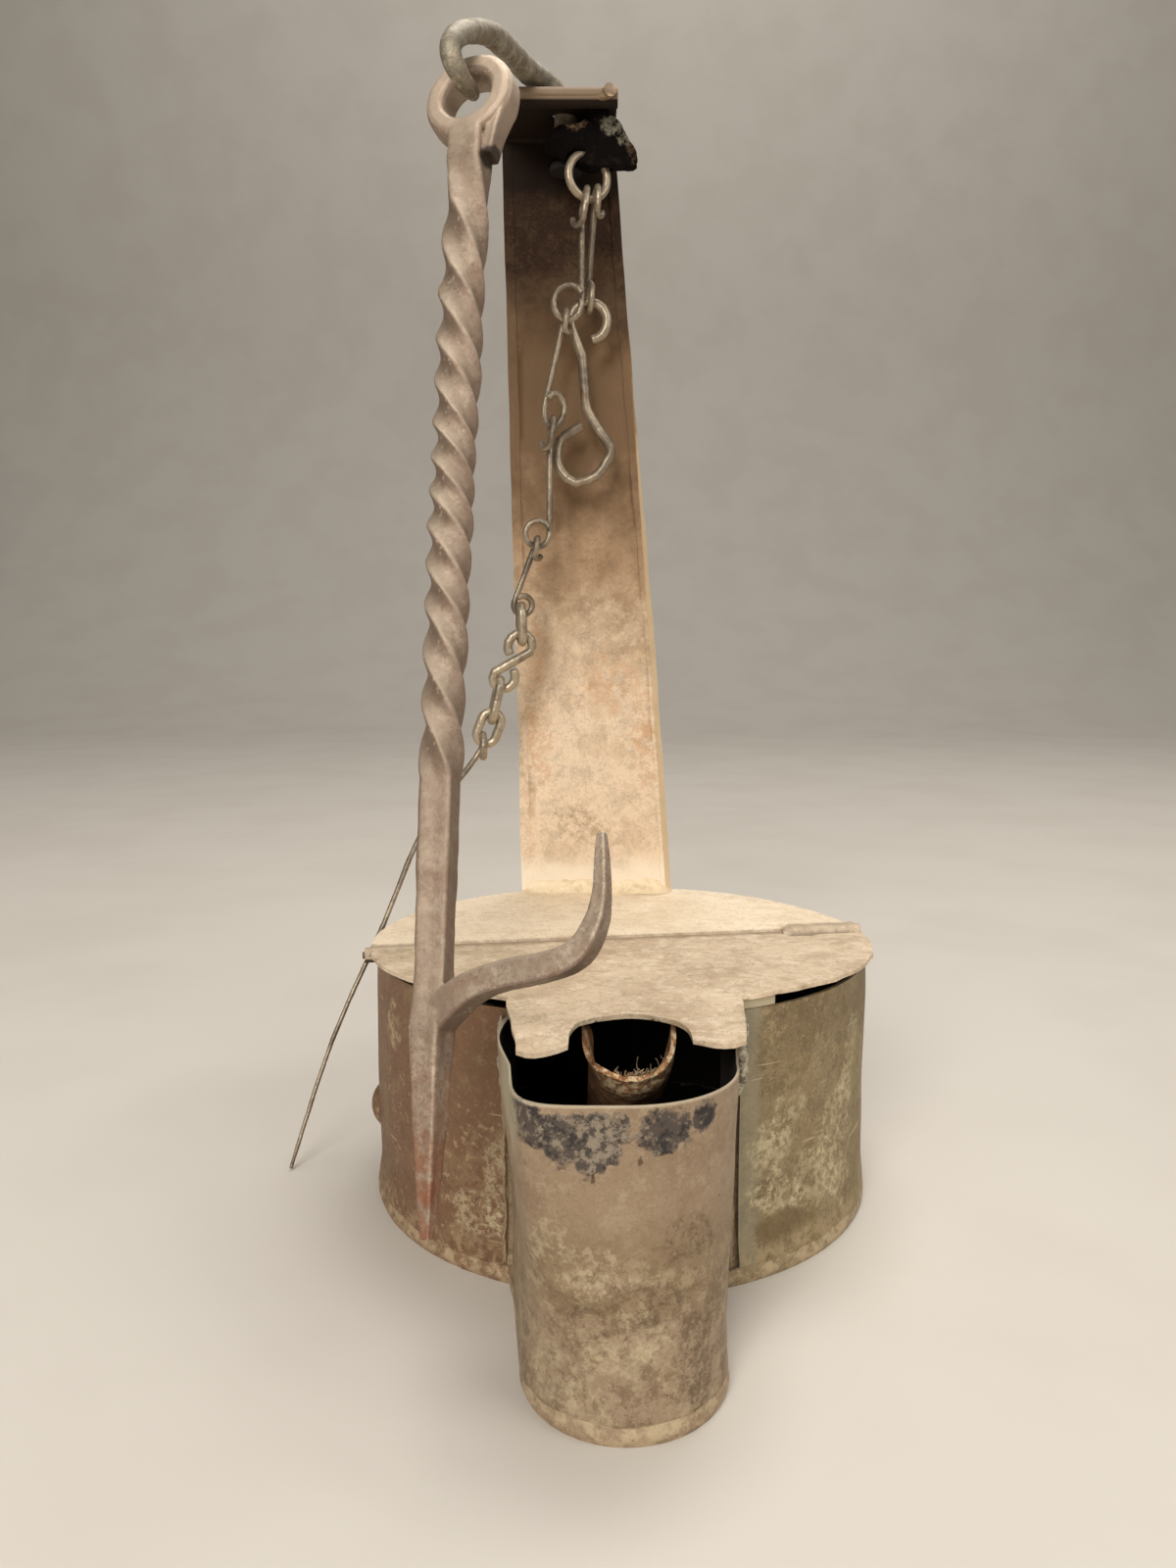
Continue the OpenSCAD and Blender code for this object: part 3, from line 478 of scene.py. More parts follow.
def hook_iron():
    p = forged("hook_iron", "#918a77", 171, "#7f6f50")
    p.over(p.band(p.noise(2.6, 177, 9, rough=0.75), 0.5, 0.6), "#5b5344", 0.55, 0.55)
    # Pale on the proud edges: wear and painted highlight
    p.over(p.edges(0.53, 0.62), "#cfc6b2", 0.35, 0.5)
    p.over(p.spot((-20, 4, 176), (2, 7, 3), 179, 1.0, 3), "#6a4b2c", 0.65, 0.7)
    # Painted shade: near black round the shank's foot, under the shelf
    p.over(p.spot((-9, 28.5, 172), (7, 7, 6), 178, 0.1), "#1d1613", 0.7)
    return p.done()


# Where the black block is worn to its metal: centre, radii and colour
BLOCK_WORN = (
    ((-7.2, 21, 177.2), (2.2, 5, 1.6), "#75604a"), ((-1.0, 21, 176.8), (2.6, 5, 1.7), "#8b8574"),
    ((1.2, 21.5, 175.2), (1.8, 5, 1.5), "#7d7564"), ((2.8, 22, 173.4), (1.4, 6, 2.0), "#5b4a38"),
)


def block_iron():
    p = Paint("block_iron", "#0b0706", 0.85, 0.0)
    p.shader.inputs["Specular IOR Level"].default_value = 0.06
    p.over(p.band(p.noise(2.4, 181, 8, rough=0.72), 0.5, 0.6), "#1c1410", 0.8, 0.7)
    broken = p.band(p.noise(0.9, 186, 8, rough=0.75), 0.42, 0.56)
    for i, (centre, radii, colour) in enumerate(BLOCK_WORN):
        p.over(p.both(p.spot(centre, radii, 182 + i, 1.0, 1.2), broken), colour, 0.7, 0.75)
    p.relief(p.noise(1.4, 184, 7, rough=0.68), 0.4)
    return p.done()


def wire_iron(name, base, seed):
    p = Paint(name, base, 0.36, 0.55)
    p.over(p.band(p.noise(7, seed, 4), 0.44, 0.6), "#554a40", 0.48, 0.7)
    p.over(p.band(p.noise(0.9, seed + 1, 8, rough=0.75), 0.48, 0.6), "#aa9b85", 0.4, 0.35)
    p.over(p.band(p.noise(3, seed + 2, 6), 0.56, 0.66), "#7f6149", 0.6, 0.5)
    p.relief(p.noise(0.5, seed + 3, 4), 0.05)
    return p.done()


def rim_copper():
    p = Paint("rim_copper", "#8a765f", 0.45, 0.35)
    p.over(p.band(p.noise(3, 221, 6, (0.4, 1, 1)), 0.45, 0.62), "#6b5440", 0.5, 0.75)
    p.over(p.band(p.noise(1.4, 222, 6, (0.5, 1, 1)), 0.52, 0.65), "#c9a981", 0.4, 0.7)
    p.over(p.band(p.axis("X"), 1.3, 1.7), "#ecd2a0", 0.35, 0.9)
    p.relief(p.noise(0.6, 223, 4), 0.06)
    return p.done()


def trough_rust():
    p = Paint("trough_rust", "#96663f", 0.8, 0.05)
    p.over(p.band(p.noise(3, 231, 8, rough=0.7), 0.48, 0.58), "#6b4429", 0.85, 0.7)
    p.over(p.band(p.noise(1.4, 232, 8, rough=0.75), 0.5, 0.58), "#d0a06c", 0.85, 0.7)
    lip = p.band(p.axis("Y"), -43.5, -45.5)
    p.over(p.both(lip, p.band(p.noise(0.8, 233, 6), 0.44, 0.56)), "#ecd3a8", 0.85, 0.8)
    p.relief(p.noise(0.9, 234, 6, rough=0.7), 0.25)
    return p.done()


def wick_fibre():
    p = Paint("wick_fibre", "#dcc7a2", 0.9, 0.0)
    p.over(p.band(p.noise(1.5, 241, 4), 0.45, 0.62), "#a07e56", 0.9, 0.7)
    # Painted shade: near black for the fibres deep inside the spout
    p.over(p.band(p.axis("Y"), -44, -40), "#1f1610", 0.95, 0.97)
    p.relief(p.noise(0.3, 243, 3), 0.05)
    return p.done()


def look_of(node):
    """A node's material. The chain's links have no entry of their own."""
    return LOOKS.get(node, small_wire if node.startswith("small_link") else iron_wire)


def set_material(obj, material):
    obj.data.materials.clear()
    obj.data.materials.append(material)


# Shapes: finer copies of the CAD solids, uneven as hand work is, that stand for them


def copy_mm(node):
    """A CAD node's mesh in millimetres."""
    mesh = frame["nodes"][node].data.copy()
    mesh.transform(Matrix.Scale(1 / MM, 4))
    return mesh


# In millimetres: points nearer than this are one, cuts nearer to a point than this go through it, and
# slivers shorter than this are closed
SAME_POINT, CUT_SLACK, SLIVER = 0.001, 0.002, 0.003


def gridded(node, steps):
    """A node's mesh cut along planes across x, y and z, so that it can bend smoothly."""
    mesh = copy_mm(node)
    bm = bmesh.new()
    bm.from_mesh(mesh)
    bmesh.ops.remove_doubles(bm, verts=bm.verts, dist=SAME_POINT)
    low, high = [np.array(c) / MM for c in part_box(node)]
    for k, step in enumerate(steps):
        if not step:
            continue
        normal = Vector([float(k == i) for i in range(3)])
        for at in np.arange(low[k] + step / 2, high[k], step):
            geom = bm.verts[:] + bm.edges[:] + bm.faces[:]
            bmesh.ops.bisect_plane(bm, geom=geom, dist=CUT_SLACK, plane_co=normal * at, plane_no=normal)
    bmesh.ops.remove_doubles(bm, verts=bm.verts, dist=SLIVER)
    bm.to_mesh(mesh)
    bm.free()
    return mesh


def remade(mesh, voxel, passes):
    """A shape in millimetres as an even, softened mesh."""
    obj = add_object("remake", mesh)
    even = obj.modifiers.new("even", "REMESH")
    even.mode = "VOXEL"
    even.voxel_size = voxel
    soft = obj.modifiers.new("soft", "SMOOTH")
    soft.factor = 0.5
    soft.iterations = passes
    made = bpy.data.meshes.new_from_object(obj.evaluated_get(bpy.context.evaluated_depsgraph_get()))
    bpy.data.objects.remove(obj)
    return made


def vectors(items, key):
    """One vector of each of a mesh's points or faces."""
    found = np.zeros(3 * len(items))
    items.foreach_get(key, found)
    return found.reshape(-1, 3)


def places(mesh):
    return vectors(mesh.vertices, "co")


def outward(mesh):
    return vectors(mesh.vertices, "normal")


def cloud(p, size, seed):
    """Smooth noise from -1 to 1 at each point."""
    shift = Vector((seed * 7.3, seed * 3.1, seed * 5.7))
    return np.array([noise.noise(Vector(q) / size + shift) for q in p])


def ramp(value, low, high):
    t = np.clip((value - low) / (high - low), 0, 1)
    return t * t * (3 - 2 * t)


def new_piece(name, mesh, material, sharp=None):
    """Puts a mesh in millimetres into the scene, smooth but for the edges sharper than so many degrees."""
    mesh.transform(Matrix.Scale(MM, 4))
    mesh.shade_smooth()
    if sharp is not None:
        mesh.set_sharp_from_angle(angle=math.radians(sharp))
    piece = add_object(name, mesh)
    set_material(piece, material)
    return piece


def stand_for(node, mesh, name, sharp=35):
    """Makes a mesh in millimetres the piece that is seen in place of a CAD node."""
    piece = new_piece(name, mesh, look_of(node), sharp)
    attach(piece, BODY[node])
    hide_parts(node)


def move(mesh, p):
    """Puts a mesh's points at these places, inside the CAD model's box."""
    mesh.vertices.foreach_set("co", np.clip(p, BOX_LOW, BOX_HIGH).ravel())
    mesh.update()


def mark_inner(mesh, test):
    """Marks the faces for which test(centres, normals) holds."""
    found = test(vectors(mesh.polygons, "center"), vectors(mesh.polygons, "normal")).astype(np.float32)
    mesh.attributes.new("inner", "FLOAT", "FACE").data.foreach_set("value", found)


def loft(rings, verts, faces):
    """Adds a closed skin over equal rings of points, to lists of points and faces."""
    start, count = len(verts), len(rings[0])
    for ring in rings:
        verts.extend(map(tuple, ring))
    for i in range(len(rings) - 1):
        for k in range(count):
            a, b = start + i * count + k, start + i * count + (k + 1) % count
            faces.append((a, b, b + count, a + count))
    faces.append(tuple(start + k for k in reversed(range(count))))
    faces.append(tuple(start + (len(rings) - 1) * count + k for k in range(count)))


def direction(path, i):
    """Which way a path runs at one of its points."""
    along = path[min(i + 1, len(path) - 1)] - path[max(i - 1, 0)]
    return along / np.linalg.norm(along)


def tube(path, radii, sides, verts, faces):
    """Adds a closed tube along a path."""
    path = np.array(path, float)
    side = np.array([0.31, 0.27, 0.91])
    turns = [2 * math.pi * k / sides for k in range(sides)]
    rings = []
    for i, at in enumerate(path):
        along = direction(path, i)
        side = side - along * (side @ along)
        side /= np.linalg.norm(side)
        other = np.cross(along, side)
        rings.append([at + radii[i] * (math.cos(t) * side + math.sin(t) * other) for t in turns])
    loft(rings, verts, faces)


def mesh_from(verts, faces):
    mesh = bpy.data.meshes.new("made")
    mesh.from_pydata([tuple(map(float, v)) for v in verts], [], faces)
    mesh.update()
    return mesh


# The font's sizes, as in the CAD
DRUM_R = 39.5
RIM_Z = 38.9
LIP_Z = 2.4
SPOUT_X = -1.4
NOSE_Y = -56.5
NOSE_R = 12.5
SPOUT_HALF = 14.4
# The spout's width at its foot and at its rim, as a share of the CAD's
FLARE_LOW, FLARE_HIGH = 0.955, 1.065
# How far the spout's left side is bent out, and how square its left front corner is at the rim: 2 is round
SIDE_BENT, CORNER_POWER = 1.2, 5
# The font wall's left end laps over its slot by so much
SLOT_LEFT, SLOT_CLOSED = -18.0, 1.3
# Where the walls are knocked in or out: centre, size and depth
FONT_DENTS = (
    ((4, -69, 24), 6, -0.35), ((-9, -66, 9), 5, -0.3), ((26, -30, 22), 9, -0.35), ((-20, -34, 20), 8, 0.3),
    ((33, -20, 10), 6, 0.25),
)
# The crease in the spout's front: its middle, half its length, its height and how far its ends rise
CREASE_X, CREASE_HALF, CREASE_Z, CREASE_RISE = -5.4, 5.4, 16.0, 2.4


def font_side(p):
    """How far each point stands outside the font's outline, and which way is out."""
    r = np.hypot(p[:, 0], p[:, 1])
    drum = r - DRUM_R
    out_drum = p[:, :2] / np.maximum(r, 1)[:, None]
    x = p[:, 0] - SPOUT_X
    y = p[:, 1] - NOSE_Y
    half = NOSE_R + (SPOUT_HALF - NOSE_R) * np.clip(y / (-DRUM_R - NOSE_Y), 0, 1)
    nose = y < 0
    far = np.hypot(x, y)
    spout = np.where(nose, far - NOSE_R, np.abs(x) - half)
    out_spout = np.where(
        nose[:, None], np.stack([x, y], 1) / np.maximum(far, 1)[:, None], np.stack([np.sign(x), 0 * x], 1)
    )
    share = ramp(-p[:, 1], 35, 41)[:, None]
    out = out_drum * (1 - share) + out_spout * share
    return np.minimum(drum, spout), np.concatenate([out, np.zeros((len(p), 1))], 1)


def font_dents(p):
    """How far the font's walls are knocked in or out."""
    calm = ramp(p[:, 2], 0.5, 6) * ramp(-p[:, 2], -40, -33)
    amount = (0.32 * cloud(p, 21, 1) + 0.14 * cloud(p, 8, 2)) * (0.25 + 0.75 * calm)
    for centre, size, depth in FONT_DENTS:
        amount = amount + depth * np.exp(-np.sum((p - centre) ** 2, 1) / size**2)
    across = (p[:, 0] - CREASE_X) / CREASE_HALF
    above = p[:, 2] - (CREASE_Z + CREASE_RISE * across**2)
    crease = 0.5 * np.exp(-(((above - 1.0) / 0.9) ** 2)) - 0.3 * np.exp(-(((above + 0.6) / 0.7) ** 2))
    return amount + crease * np.exp(-(across**4)) * (p[:, 1] < NOSE_Y)


def inside_font(centres, normals):
    outside, out = font_side(centres)
    return ((normals * out).sum(1) < -0.3) | ((normals[:, 2] > 0.5) & (outside < -1) & (centres[:, 2] < 5))


def spout_flare(p):
    """Moves that make the spout widen to its rim, its left side and corner bent out at the top."""
    share = ramp(-p[:, 1], 36, 42)
    wide = FLARE_LOW + (FLARE_HIGH - FLARE_LOW) * np.clip(p[:, 2] / RIM_Z, 0, 1.1)
    side = np.exp(-(((p[:, 1] + 48) / 8) ** 2)) * ramp(SPOUT_X - p[:, 0], 7, 12)
    bent = -SIDE_BENT * side * ramp(p[:, 2], 14, 34)
    moves = np.zeros_like(p)
    moves[:, 0] = share * ((p[:, 0] - SPOUT_X) * (wide - 1) + bent)
    x, y = np.maximum(SPOUT_X - p[:, 0], 0), np.maximum(NOSE_Y - p[:, 1], 0)
    far = np.maximum(np.hypot(x, y), 1e-6)
    square = ((x / far) ** CORNER_POWER + (y / far) ** CORNER_POWER + 1e-9) ** (-1 / CORNER_POWER)
    grow = (square - 1) * ramp(p[:, 2], 8, 36) * (x > 0) * (y > 0)
    moves[:, 0] -= grow * x
    moves[:, 1] -= grow * y
    return moves


def dress_font():
    for node, steps in (
        ("drum_wall", (2.0, 2.0, 1.2)),
        ("spout_wall", (0.9, 2.0, 0.8)),
        ("base_plate", (1.6, 1.6, 0.3)),
    ):
        mesh = gridded(node, steps)
        p = places(mesh)
        outside, out = font_side(p)
        foot = np.exp(-((np.maximum(p[:, 2] - LIP_Z, 0) / 2.4) ** 2))
        if node == "base_plate":
            tucked = -0.3 * ramp(p[:, 2], 1.0, LIP_Z) - 0.55 * ramp(-p[:, 2], -0.9, 0)
            shift = np.clip(outside - 0.06, 0, 1) * tucked
            shift = shift + 0.12 * cloud(p, 5, 4) * ramp(p[:, 2], 0.2, 1.5)
            shift = np.where(outside < -0.5, 0, shift)
            p[:, 2] += 0.3 * cloud(p, 3, 5) * ramp(p[:, 2], LIP_Z - 1, LIP_Z) * (outside > -0.5)
        else:
            spout_rim = ramp(p[:, 2], 33, 38.5) * ramp(-p[:, 1], 41, 46)
            thin = 0.6 * np.clip(-outside, 0, 1) * (outside > -1.5) * spout_rim
            shift = font_dents(p) + 0.42 * foot * (outside > -1.2) + thin
        moved = p + out * shift[:, None]
        if node == "drum_wall":
            moved[:, 0] += SLOT_CLOSED * ramp(p[:, 0], -24, SLOT_LEFT) * (p[:, 0] < 0) * (p[:, 1] < 0)
        else:
            moved += spout_flare(p)
        move(mesh, moved)
        mark_inner(mesh, inside_font)
        stand_for(node, mesh, node + "_sheet")


# Where the lid's knuckle ends along the hinge, as in the CAD
LID_HALF = 27.9
# The rear cover's right knuckle stands proud, and the lid leaves room for it
PROUD, LID_ROOM = 0.9, 1.4
# How far the tongue's left ear hangs, and the corners of the tongue and its notch: x, and how far each is
# rounded off
TONGUE_SAG = 1.0
TONGUE_CORNERS = ((-14.9, 1.8), (-7.9, 1.3), (6.5, 1.3), (13.5, 1.8))


def along_hinge(p):
    return (p[:, 0] - HINGE_AT[0]) * math.cos(HINGE_SKEW) + (p[:, 1] - HINGE_AT[1]) * math.sin(HINGE_SKEW)


def from_hinge(p):
    return (p[:, 1] - HINGE_AT[1]) * math.cos(HINGE_SKEW) - (p[:, 0] - HINGE_AT[0]) * math.sin(HINGE_SKEW)


def dress_covers():
    for node, seed in (("lid", 11), ("rear_cover", 12)):
        mesh = gridded(node, (1.2, 1.2, 0))
        p = places(mesh)
        calm = ramp(np.abs(from_hinge(p)), 3, 9)
        p[:, 2] += calm * (0.16 * cloud(p, 16, seed) + 0.07 * cloud(p, 6, seed + 1))
        p[:, 0] += calm * 0.3 * cloud(p, 4, seed + 2)
        p[:, 1] += calm * (0.3 * cloud(p, 4, seed + 3) + 0.16 * cloud(p, 1.6, seed + 4))
        if node == "rear_cover":
            knuckle = ramp(along_hinge(p), LID_HALF + 0.1, LID_HALF + 1) * ramp(-from_hinge(p), -6, -1)
            p[:, 2] += PROUD * knuckle
        else:
            corner = ramp(along_hinge(p), LID_HALF, LID_HALF + 0.6) * ramp(from_hinge(p), -4.5, -1)
            p[:, 1] -= LID_ROOM * corner
            ears = ramp(-p[:, 1], 51, 57)
            for at, back in TONGUE_CORNERS:
                p[:, 1] += back * ears * np.exp(-(((p[:, 0] - at) / 1.5) ** 2))
            p[:, 2] -= TONGUE_SAG * ramp(-p[:, 1], 46, 58) * ramp(-p[:, 0], 3, 14)
        move(mesh, p)
        mark_inner(mesh, lambda centres, normals: normals[:, 2] < -0.3)
        stand_for(node, mesh, node + "_sheet")


# The strap's sizes and place, as in the CAD
STRAP_FRONT = 36.5
SHELF_Z = 179.0
COVER_TOP = 39.8
FOOT_X = -3.3
FOOT_W = 29.4
# How far the strap's hems are flattened, and how high and wide the solder at its foot is
HEM_FLAT = 0.35
SOLDER_HIGH, SOLDER_WIDE = 2.4, 2.8


def dress_strap():
    mesh = gridded("upright", (1.5, 1.5, 2.0))
    p = places(mesh)
    hem = (p[:, 1] < STRAP_FRONT - 0.2) & (p[:, 2] < SHELF_Z)
    p[:, 1] += HEM_FLAT * hem
    calm = ramp(p[:, 2], 40, 55) * ramp(-p[:, 2], -178, -160)
    p[:, 1] += calm * (0.45 * cloud(p, 24, 21) + 0.1 * cloud(p, 7, 22))
    p[:, 0] += calm * 0.25 * cloud(p, 9, 23)
    p[:, 0] -= ramp(p[:, 2], 60, 180) * (0.4 + 0.8 * ramp(p[:, 0], -12, 1))
    move(mesh, p)
    stand_for("upright", mesh, "upright_sheet")


def dress_solder():
    """The lumpy run of solder along the strap's foot."""
    stations, steps = 90, 9
    x = np.linspace(FOOT_X - FOOT_W / 2 + 0.3, FOOT_X + FOOT_W / 2 - 0.3, stations)
    line = np.stack([x, 0 * x, 0 * x], 1)
    taper = ramp(np.minimum(x - x[0], x[-1] - x), 0, 2.5) * 0.6 + 0.4
    high = taper * (SOLDER_HIGH + 0.8 * cloud(line, 5, 24) + 0.5 * cloud(line, 1.7, 25))
    wide = taper * (SOLDER_WIDE + 0.9 * cloud(line, 6, 26) + 0.4 * cloud(line, 1.9, 27))
    verts, faces = [], []
    for i in range(stations):
        for k in range(steps):
            turn = math.pi / 2 * k / (steps - 1)
            ripple = 0.12 * noise.noise(Vector((x[i] / 1.3, 3 * turn, 2.0))) * math.sin(2 * turn)
            verts.append((
                x[i], STRAP_FRONT - wide[i] * (1 - math.sin(turn)) - ripple,
                COVER_TOP + high[i] * (1 - math.cos(turn)) + ripple,
            ))
        verts.append((x[i], STRAP_FRONT, COVER_TOP))
    ring = steps + 1
    for i in range(stations - 1):
        for k in range(ring):
            c, d = i * ring + k, i * ring + (k + 1) % ring
            faces.append((c, c + ring, d + ring, d))
    faces.append(tuple(range(ring)))
    faces.append(tuple(reversed(range((stations - 1) * ring, stations * ring))))
    stand_for("upright_solder", mesh_from(verts, faces), "upright_solder_run", 50)


# The hanger's sizes and place, as in the CAD
BEARING = Vector((-21.957, -9.25, 166.9))
HANG_YAW, HANG_LEAN, HANG_TILT = -22, -20, -7.2
EYE_MID = -1.8
EYE_HOLE_R, EYE_R, EYE_T = 3.7, 6.75, 4.8
BAR_TOP, TWIST_TOP, TWIST_LOW, PRONG_Z, SPIKE_Z = -7.7, -12.9, -102.5, -129.6, -155.6
BAR_W, BAR_LOW_W = 5.1, 3.9
TWIST_ALL, SPIKE_BACK = 1179, 19
# The eye's lapped end: x and how far below the eye's middle, and where it stops
LAP = ((5.3, 0.4), (4.7, 3.2), (3.7, 6.4))
LAP_END = Vector((3.0, 0, -12.0))
# The twist is tighter half-way: share of its length, share of its turn
TWIST_RUN = (
    (0, 0), (0.08, 0.025), (0.2, 0.11), (0.3, 0.205), (0.45, 0.365), (0.64, 0.625), (0.78, 0.795),
    (0.95, 0.965), (1, 1),
)
# The spike's widths from its tip up, how far the bar is bowed, and the prong's turn and line
SPIKE_WIDTHS = (1.1, 2.0, 3.2, 4.2)
BAR_BOW = 0.8
PRONG_TURN = 12
PRONG = (
    (0.4, -1.6), (4.5, 1.4), (9.45, 2.9), (15.3, 3.6), (19.35, 4.8), (21.6, 7.6), (22.5, 11.2), (22.5, 18),
)


def square_section(width, turn, power=11, count=64):
    """Points round a square with crisp corners and slightly hollow faces."""
    a = 2 * math.pi * np.arange(count) / count
    r = width / 2 / (np.abs(np.cos(a)) ** power + np.abs(np.sin(a)) ** power) ** (1 / power)
    r *= 1 - 0.045 * np.cos(2 * a) ** 2
    return r * np.cos(a + turn), r * np.sin(a + turn)


def smooth_path(points, steps):
    """A smooth curve through points."""
    p = np.array(points, float)
    found = []
    for i in range(len(p) - 1):
        a, b, c, d = p[max(i - 1, 0)], p[i], p[i + 1], p[min(i + 2, len(p) - 1)]
        for k in range(steps):
            u = k / steps
            square, cube = 2 * a - 5 * b + 4 * c - d, 3 * b - a - 3 * c + d
            found.append(0.5 * (2 * b + (c - a) * u + square * u**2 + cube * u**3))
    return np.array(found + [p[-1]])


def hang_place():
    """Where the hanger hangs, leaning and turned on the hook."""
    place = Matrix.Translation(BEARING)
    for angle, axis in ((HANG_YAW, "Z"), (HANG_LEAN, "X"), (HANG_TILT, "Y")):
        place = place @ Matrix.Rotation(math.radians(angle), 4, axis)
    return place


def hanger_bar():
    """Rings round the twisted bar and the spike."""
    z = np.arange(BAR_TOP, SPIKE_Z, -0.4)
    marks = [SPIKE_Z, PRONG_Z - 20.8, PRONG_Z - 13, PRONG_Z - 2, PRONG_Z + 4, TWIST_LOW, TWIST_TOP, BAR_TOP]
    wide = np.interp(z, marks, [*SPIKE_WIDTHS, BAR_LOW_W, BAR_LOW_W + 0.3, BAR_W, BAR_W])
    down = np.clip((TWIST_TOP - z) / (TWIST_TOP - TWIST_LOW), 0, 1)
    turn = TWIST_ALL * np.interp(down, *np.array(TWIST_RUN).T) - SPIKE_BACK * ramp(PRONG_Z - z, -6, 6)
    rings = []
    for at, w, t in zip(z, wide, -np.radians(turn)):
        w *= 1 + 0.03 * noise.noise(Vector((0, 0, at / 6)))
        x, y = square_section(w, t)
        bow = BAR_BOW * math.sin(math.pi * at / SPIKE_Z)
        rings.append(np.stack([x - bow, -y, 0 * x + at], 1))
    return rings


def hanger_eye(verts, faces):
    """Adds the eye, a rounded and uneven ring."""
    half = EYE_T / 2
    profile = [
        (EYE_HOLE_R, 1.0 - half), (EYE_HOLE_R + 0.2, 0.4 - half), (EYE_HOLE_R + 0.7, -half),
        (EYE_R - 1.0, -half), (EYE_R - 0.35, 0.3 - half), (EYE_R, 1.1 - half),
    ]
    profile += [(r, -y) for r, y in reversed(profile)]
    sides, start = 144, len(verts)
    for k in range(sides):
        a = 2 * math.pi * k / sides
        uneven = noise.noise(Vector((2.2 * math.cos(a), 2.2 * math.sin(a), 4)))
        for r, y in profile:
            r += 0.12 * uneven * (r > 5) + 0.08 * uneven * (r < 5)
            verts.append((r * math.cos(a), y, EYE_MID + r * math.sin(a)))
    count = len(profile)
    for k in range(sides):
        for i in range(count):
            a, b = k * count + i, k * count + (i + 1) % count
            c, d = (a + count) % (sides * count), (b + count) % (sides * count)
            faces.append((start + a, start + b, start + d, start + c))


def hanger_lap():
    """Rings round the eye's lapped end, which thins out."""
    path = smooth_path([(x, 0, EYE_MID - down) for x, down in LAP] + [tuple(LAP_END)], 6)
    rings = []
    for i, at in enumerate(path):
        across = np.cross(direction(path, i), (0, 1, 0))
        x, y = square_section(1 - 0.35 * i / (len(path) - 1), 0, 8, 32)
        rings.append(at + np.outer(2.4 * x, across) + np.outer((EYE_T - 0.35) * y, (0, 1, 0)))
    return rings


def hanger_prong():
    """Rings round the upturned prong."""
    path = smooth_path([(x, 0, PRONG_Z + up) for x, up in PRONG], 8)
    rings = []
    spin = np.array(Matrix.Rotation(math.radians(-PRONG_TURN), 3, "Z"))
    for i, at in enumerate(path):
        u = i / (len(path) - 1)
        x, y = square_section(BAR_LOW_W * (1 - 0.45 * u - 0.3 * u**6), 0, 7)
        ring = at + np.outer(x, (0, 1, 0)) + np.outer(y, np.cross(direction(path, i), (0, 1, 0)))
        rings.append(ring @ spin.T)
    return rings


def hanger_mesh():
    """The hanger's forging: twisted bar and spike, eye with its lapped end, and prong."""
    verts, faces = [], []
    loft(hanger_bar(), verts, faces)
    hanger_eye(verts, faces)
    loft(hanger_lap(), verts, faces)
    loft(hanger_prong(), verts, faces)
    mesh = mesh_from(verts, faces)
    bm = bmesh.new()
    bm.from_mesh(mesh)
    bmesh.ops.recalc_face_normals(bm, faces=bm.faces)
    bm.to_mesh(mesh)
    bm.free()
    mesh.transform(hang_place())
    return mesh


# The hook's arm, from the bearing, and its shank: heights from the shelf, and radii
HOOK_ARM = (
    (0.0, 0.9, 0.3), (-0.5, -1.8, 0.0), (-1.6, -5.0, 0.5), (-2.5, -6.7, 2.3), (-2.2, -5.9, 4.5),
    (-1.15, -2.4, 7.2), (0.45, 3.75, 10.4), (2.25, 10.25, 12.9), (4.35, 19.25, 15.0), (6.55, 28.25, 16.6),
    (8.75, 34.25, 17.5), (11.15, 36.85, 16.7), (12.95, 37.7, 14.5),
)
HOOK_R = (0.9, 1.25, 1.4, 1.5, 1.55, 1.6, 1.7, 1.8, 1.9, 2.0, 2.2, 2.3, 2.3)
SWIVEL = BEARING + Vector((13, 37.7, 12.9))
SHANK = ((-9, 2.9), (-7.8, 2.9), (-7.7, 2.1), (1.1, 2.1), (1.2, 2.9), (3.2, 2.9))


def hook_mesh():
    """The swivel hook: an arm that curls through the hanger's eye, and a headed shank."""
    verts, faces = [], []
    path = smooth_path([tuple(BEARING + Vector(q)) for q in HOOK_ARM], 6)
    radii = np.interp(np.linspace(0, 1, len(path)), np.linspace(0, 1, len(HOOK_R)), HOOK_R)
    tube(path, radii, 24, verts, faces)
    tube([tuple(SWIVEL + Vector((0, 0, up))) for up, _ in SHANK], [r for _, r in SHANK], 32, verts, faces)
    return mesh_from(verts, faces)


def dress_iron():
    for node, shape, voxel, passes, bumps in (
        ("hanger", hanger_mesh(), 0.16, 0, ((9, 0.16), (3.2, 0.08), (1.2, 0.035))),
        ("swivel_hook", hook_mesh(), 0.22, 3, ((8, 0.1), (2.5, 0.08), (1, 0.03))),
        ("swivel_block", copy_mm("swivel_block"), 0.3, 3, ((5, 0.6), (2, 0.4), (0.9, 0.18))),
    ):
        mesh = remade(shape, voxel, passes)
        p = places(mesh)
        amount = sum(high * cloud(p, size, 31 + i) for i, (size, high) in enumerate(bumps))
        move(mesh, p + outward(mesh) * amount[:, None])
        stand_for(node, mesh, node + "_forging", 60)


# How far the softened wires are fattened again. The long links need all their room at their limits
SMALL_LINK_FAT, LONG_LINK_FAT, WIRE_FAT = 0.26, -0.06, 0.09


def wire_fat(node):
    if node.startswith("small_link"):
        return SMALL_LINK_FAT
    return LONG_LINK_FAT if "link" in node else WIRE_FAT


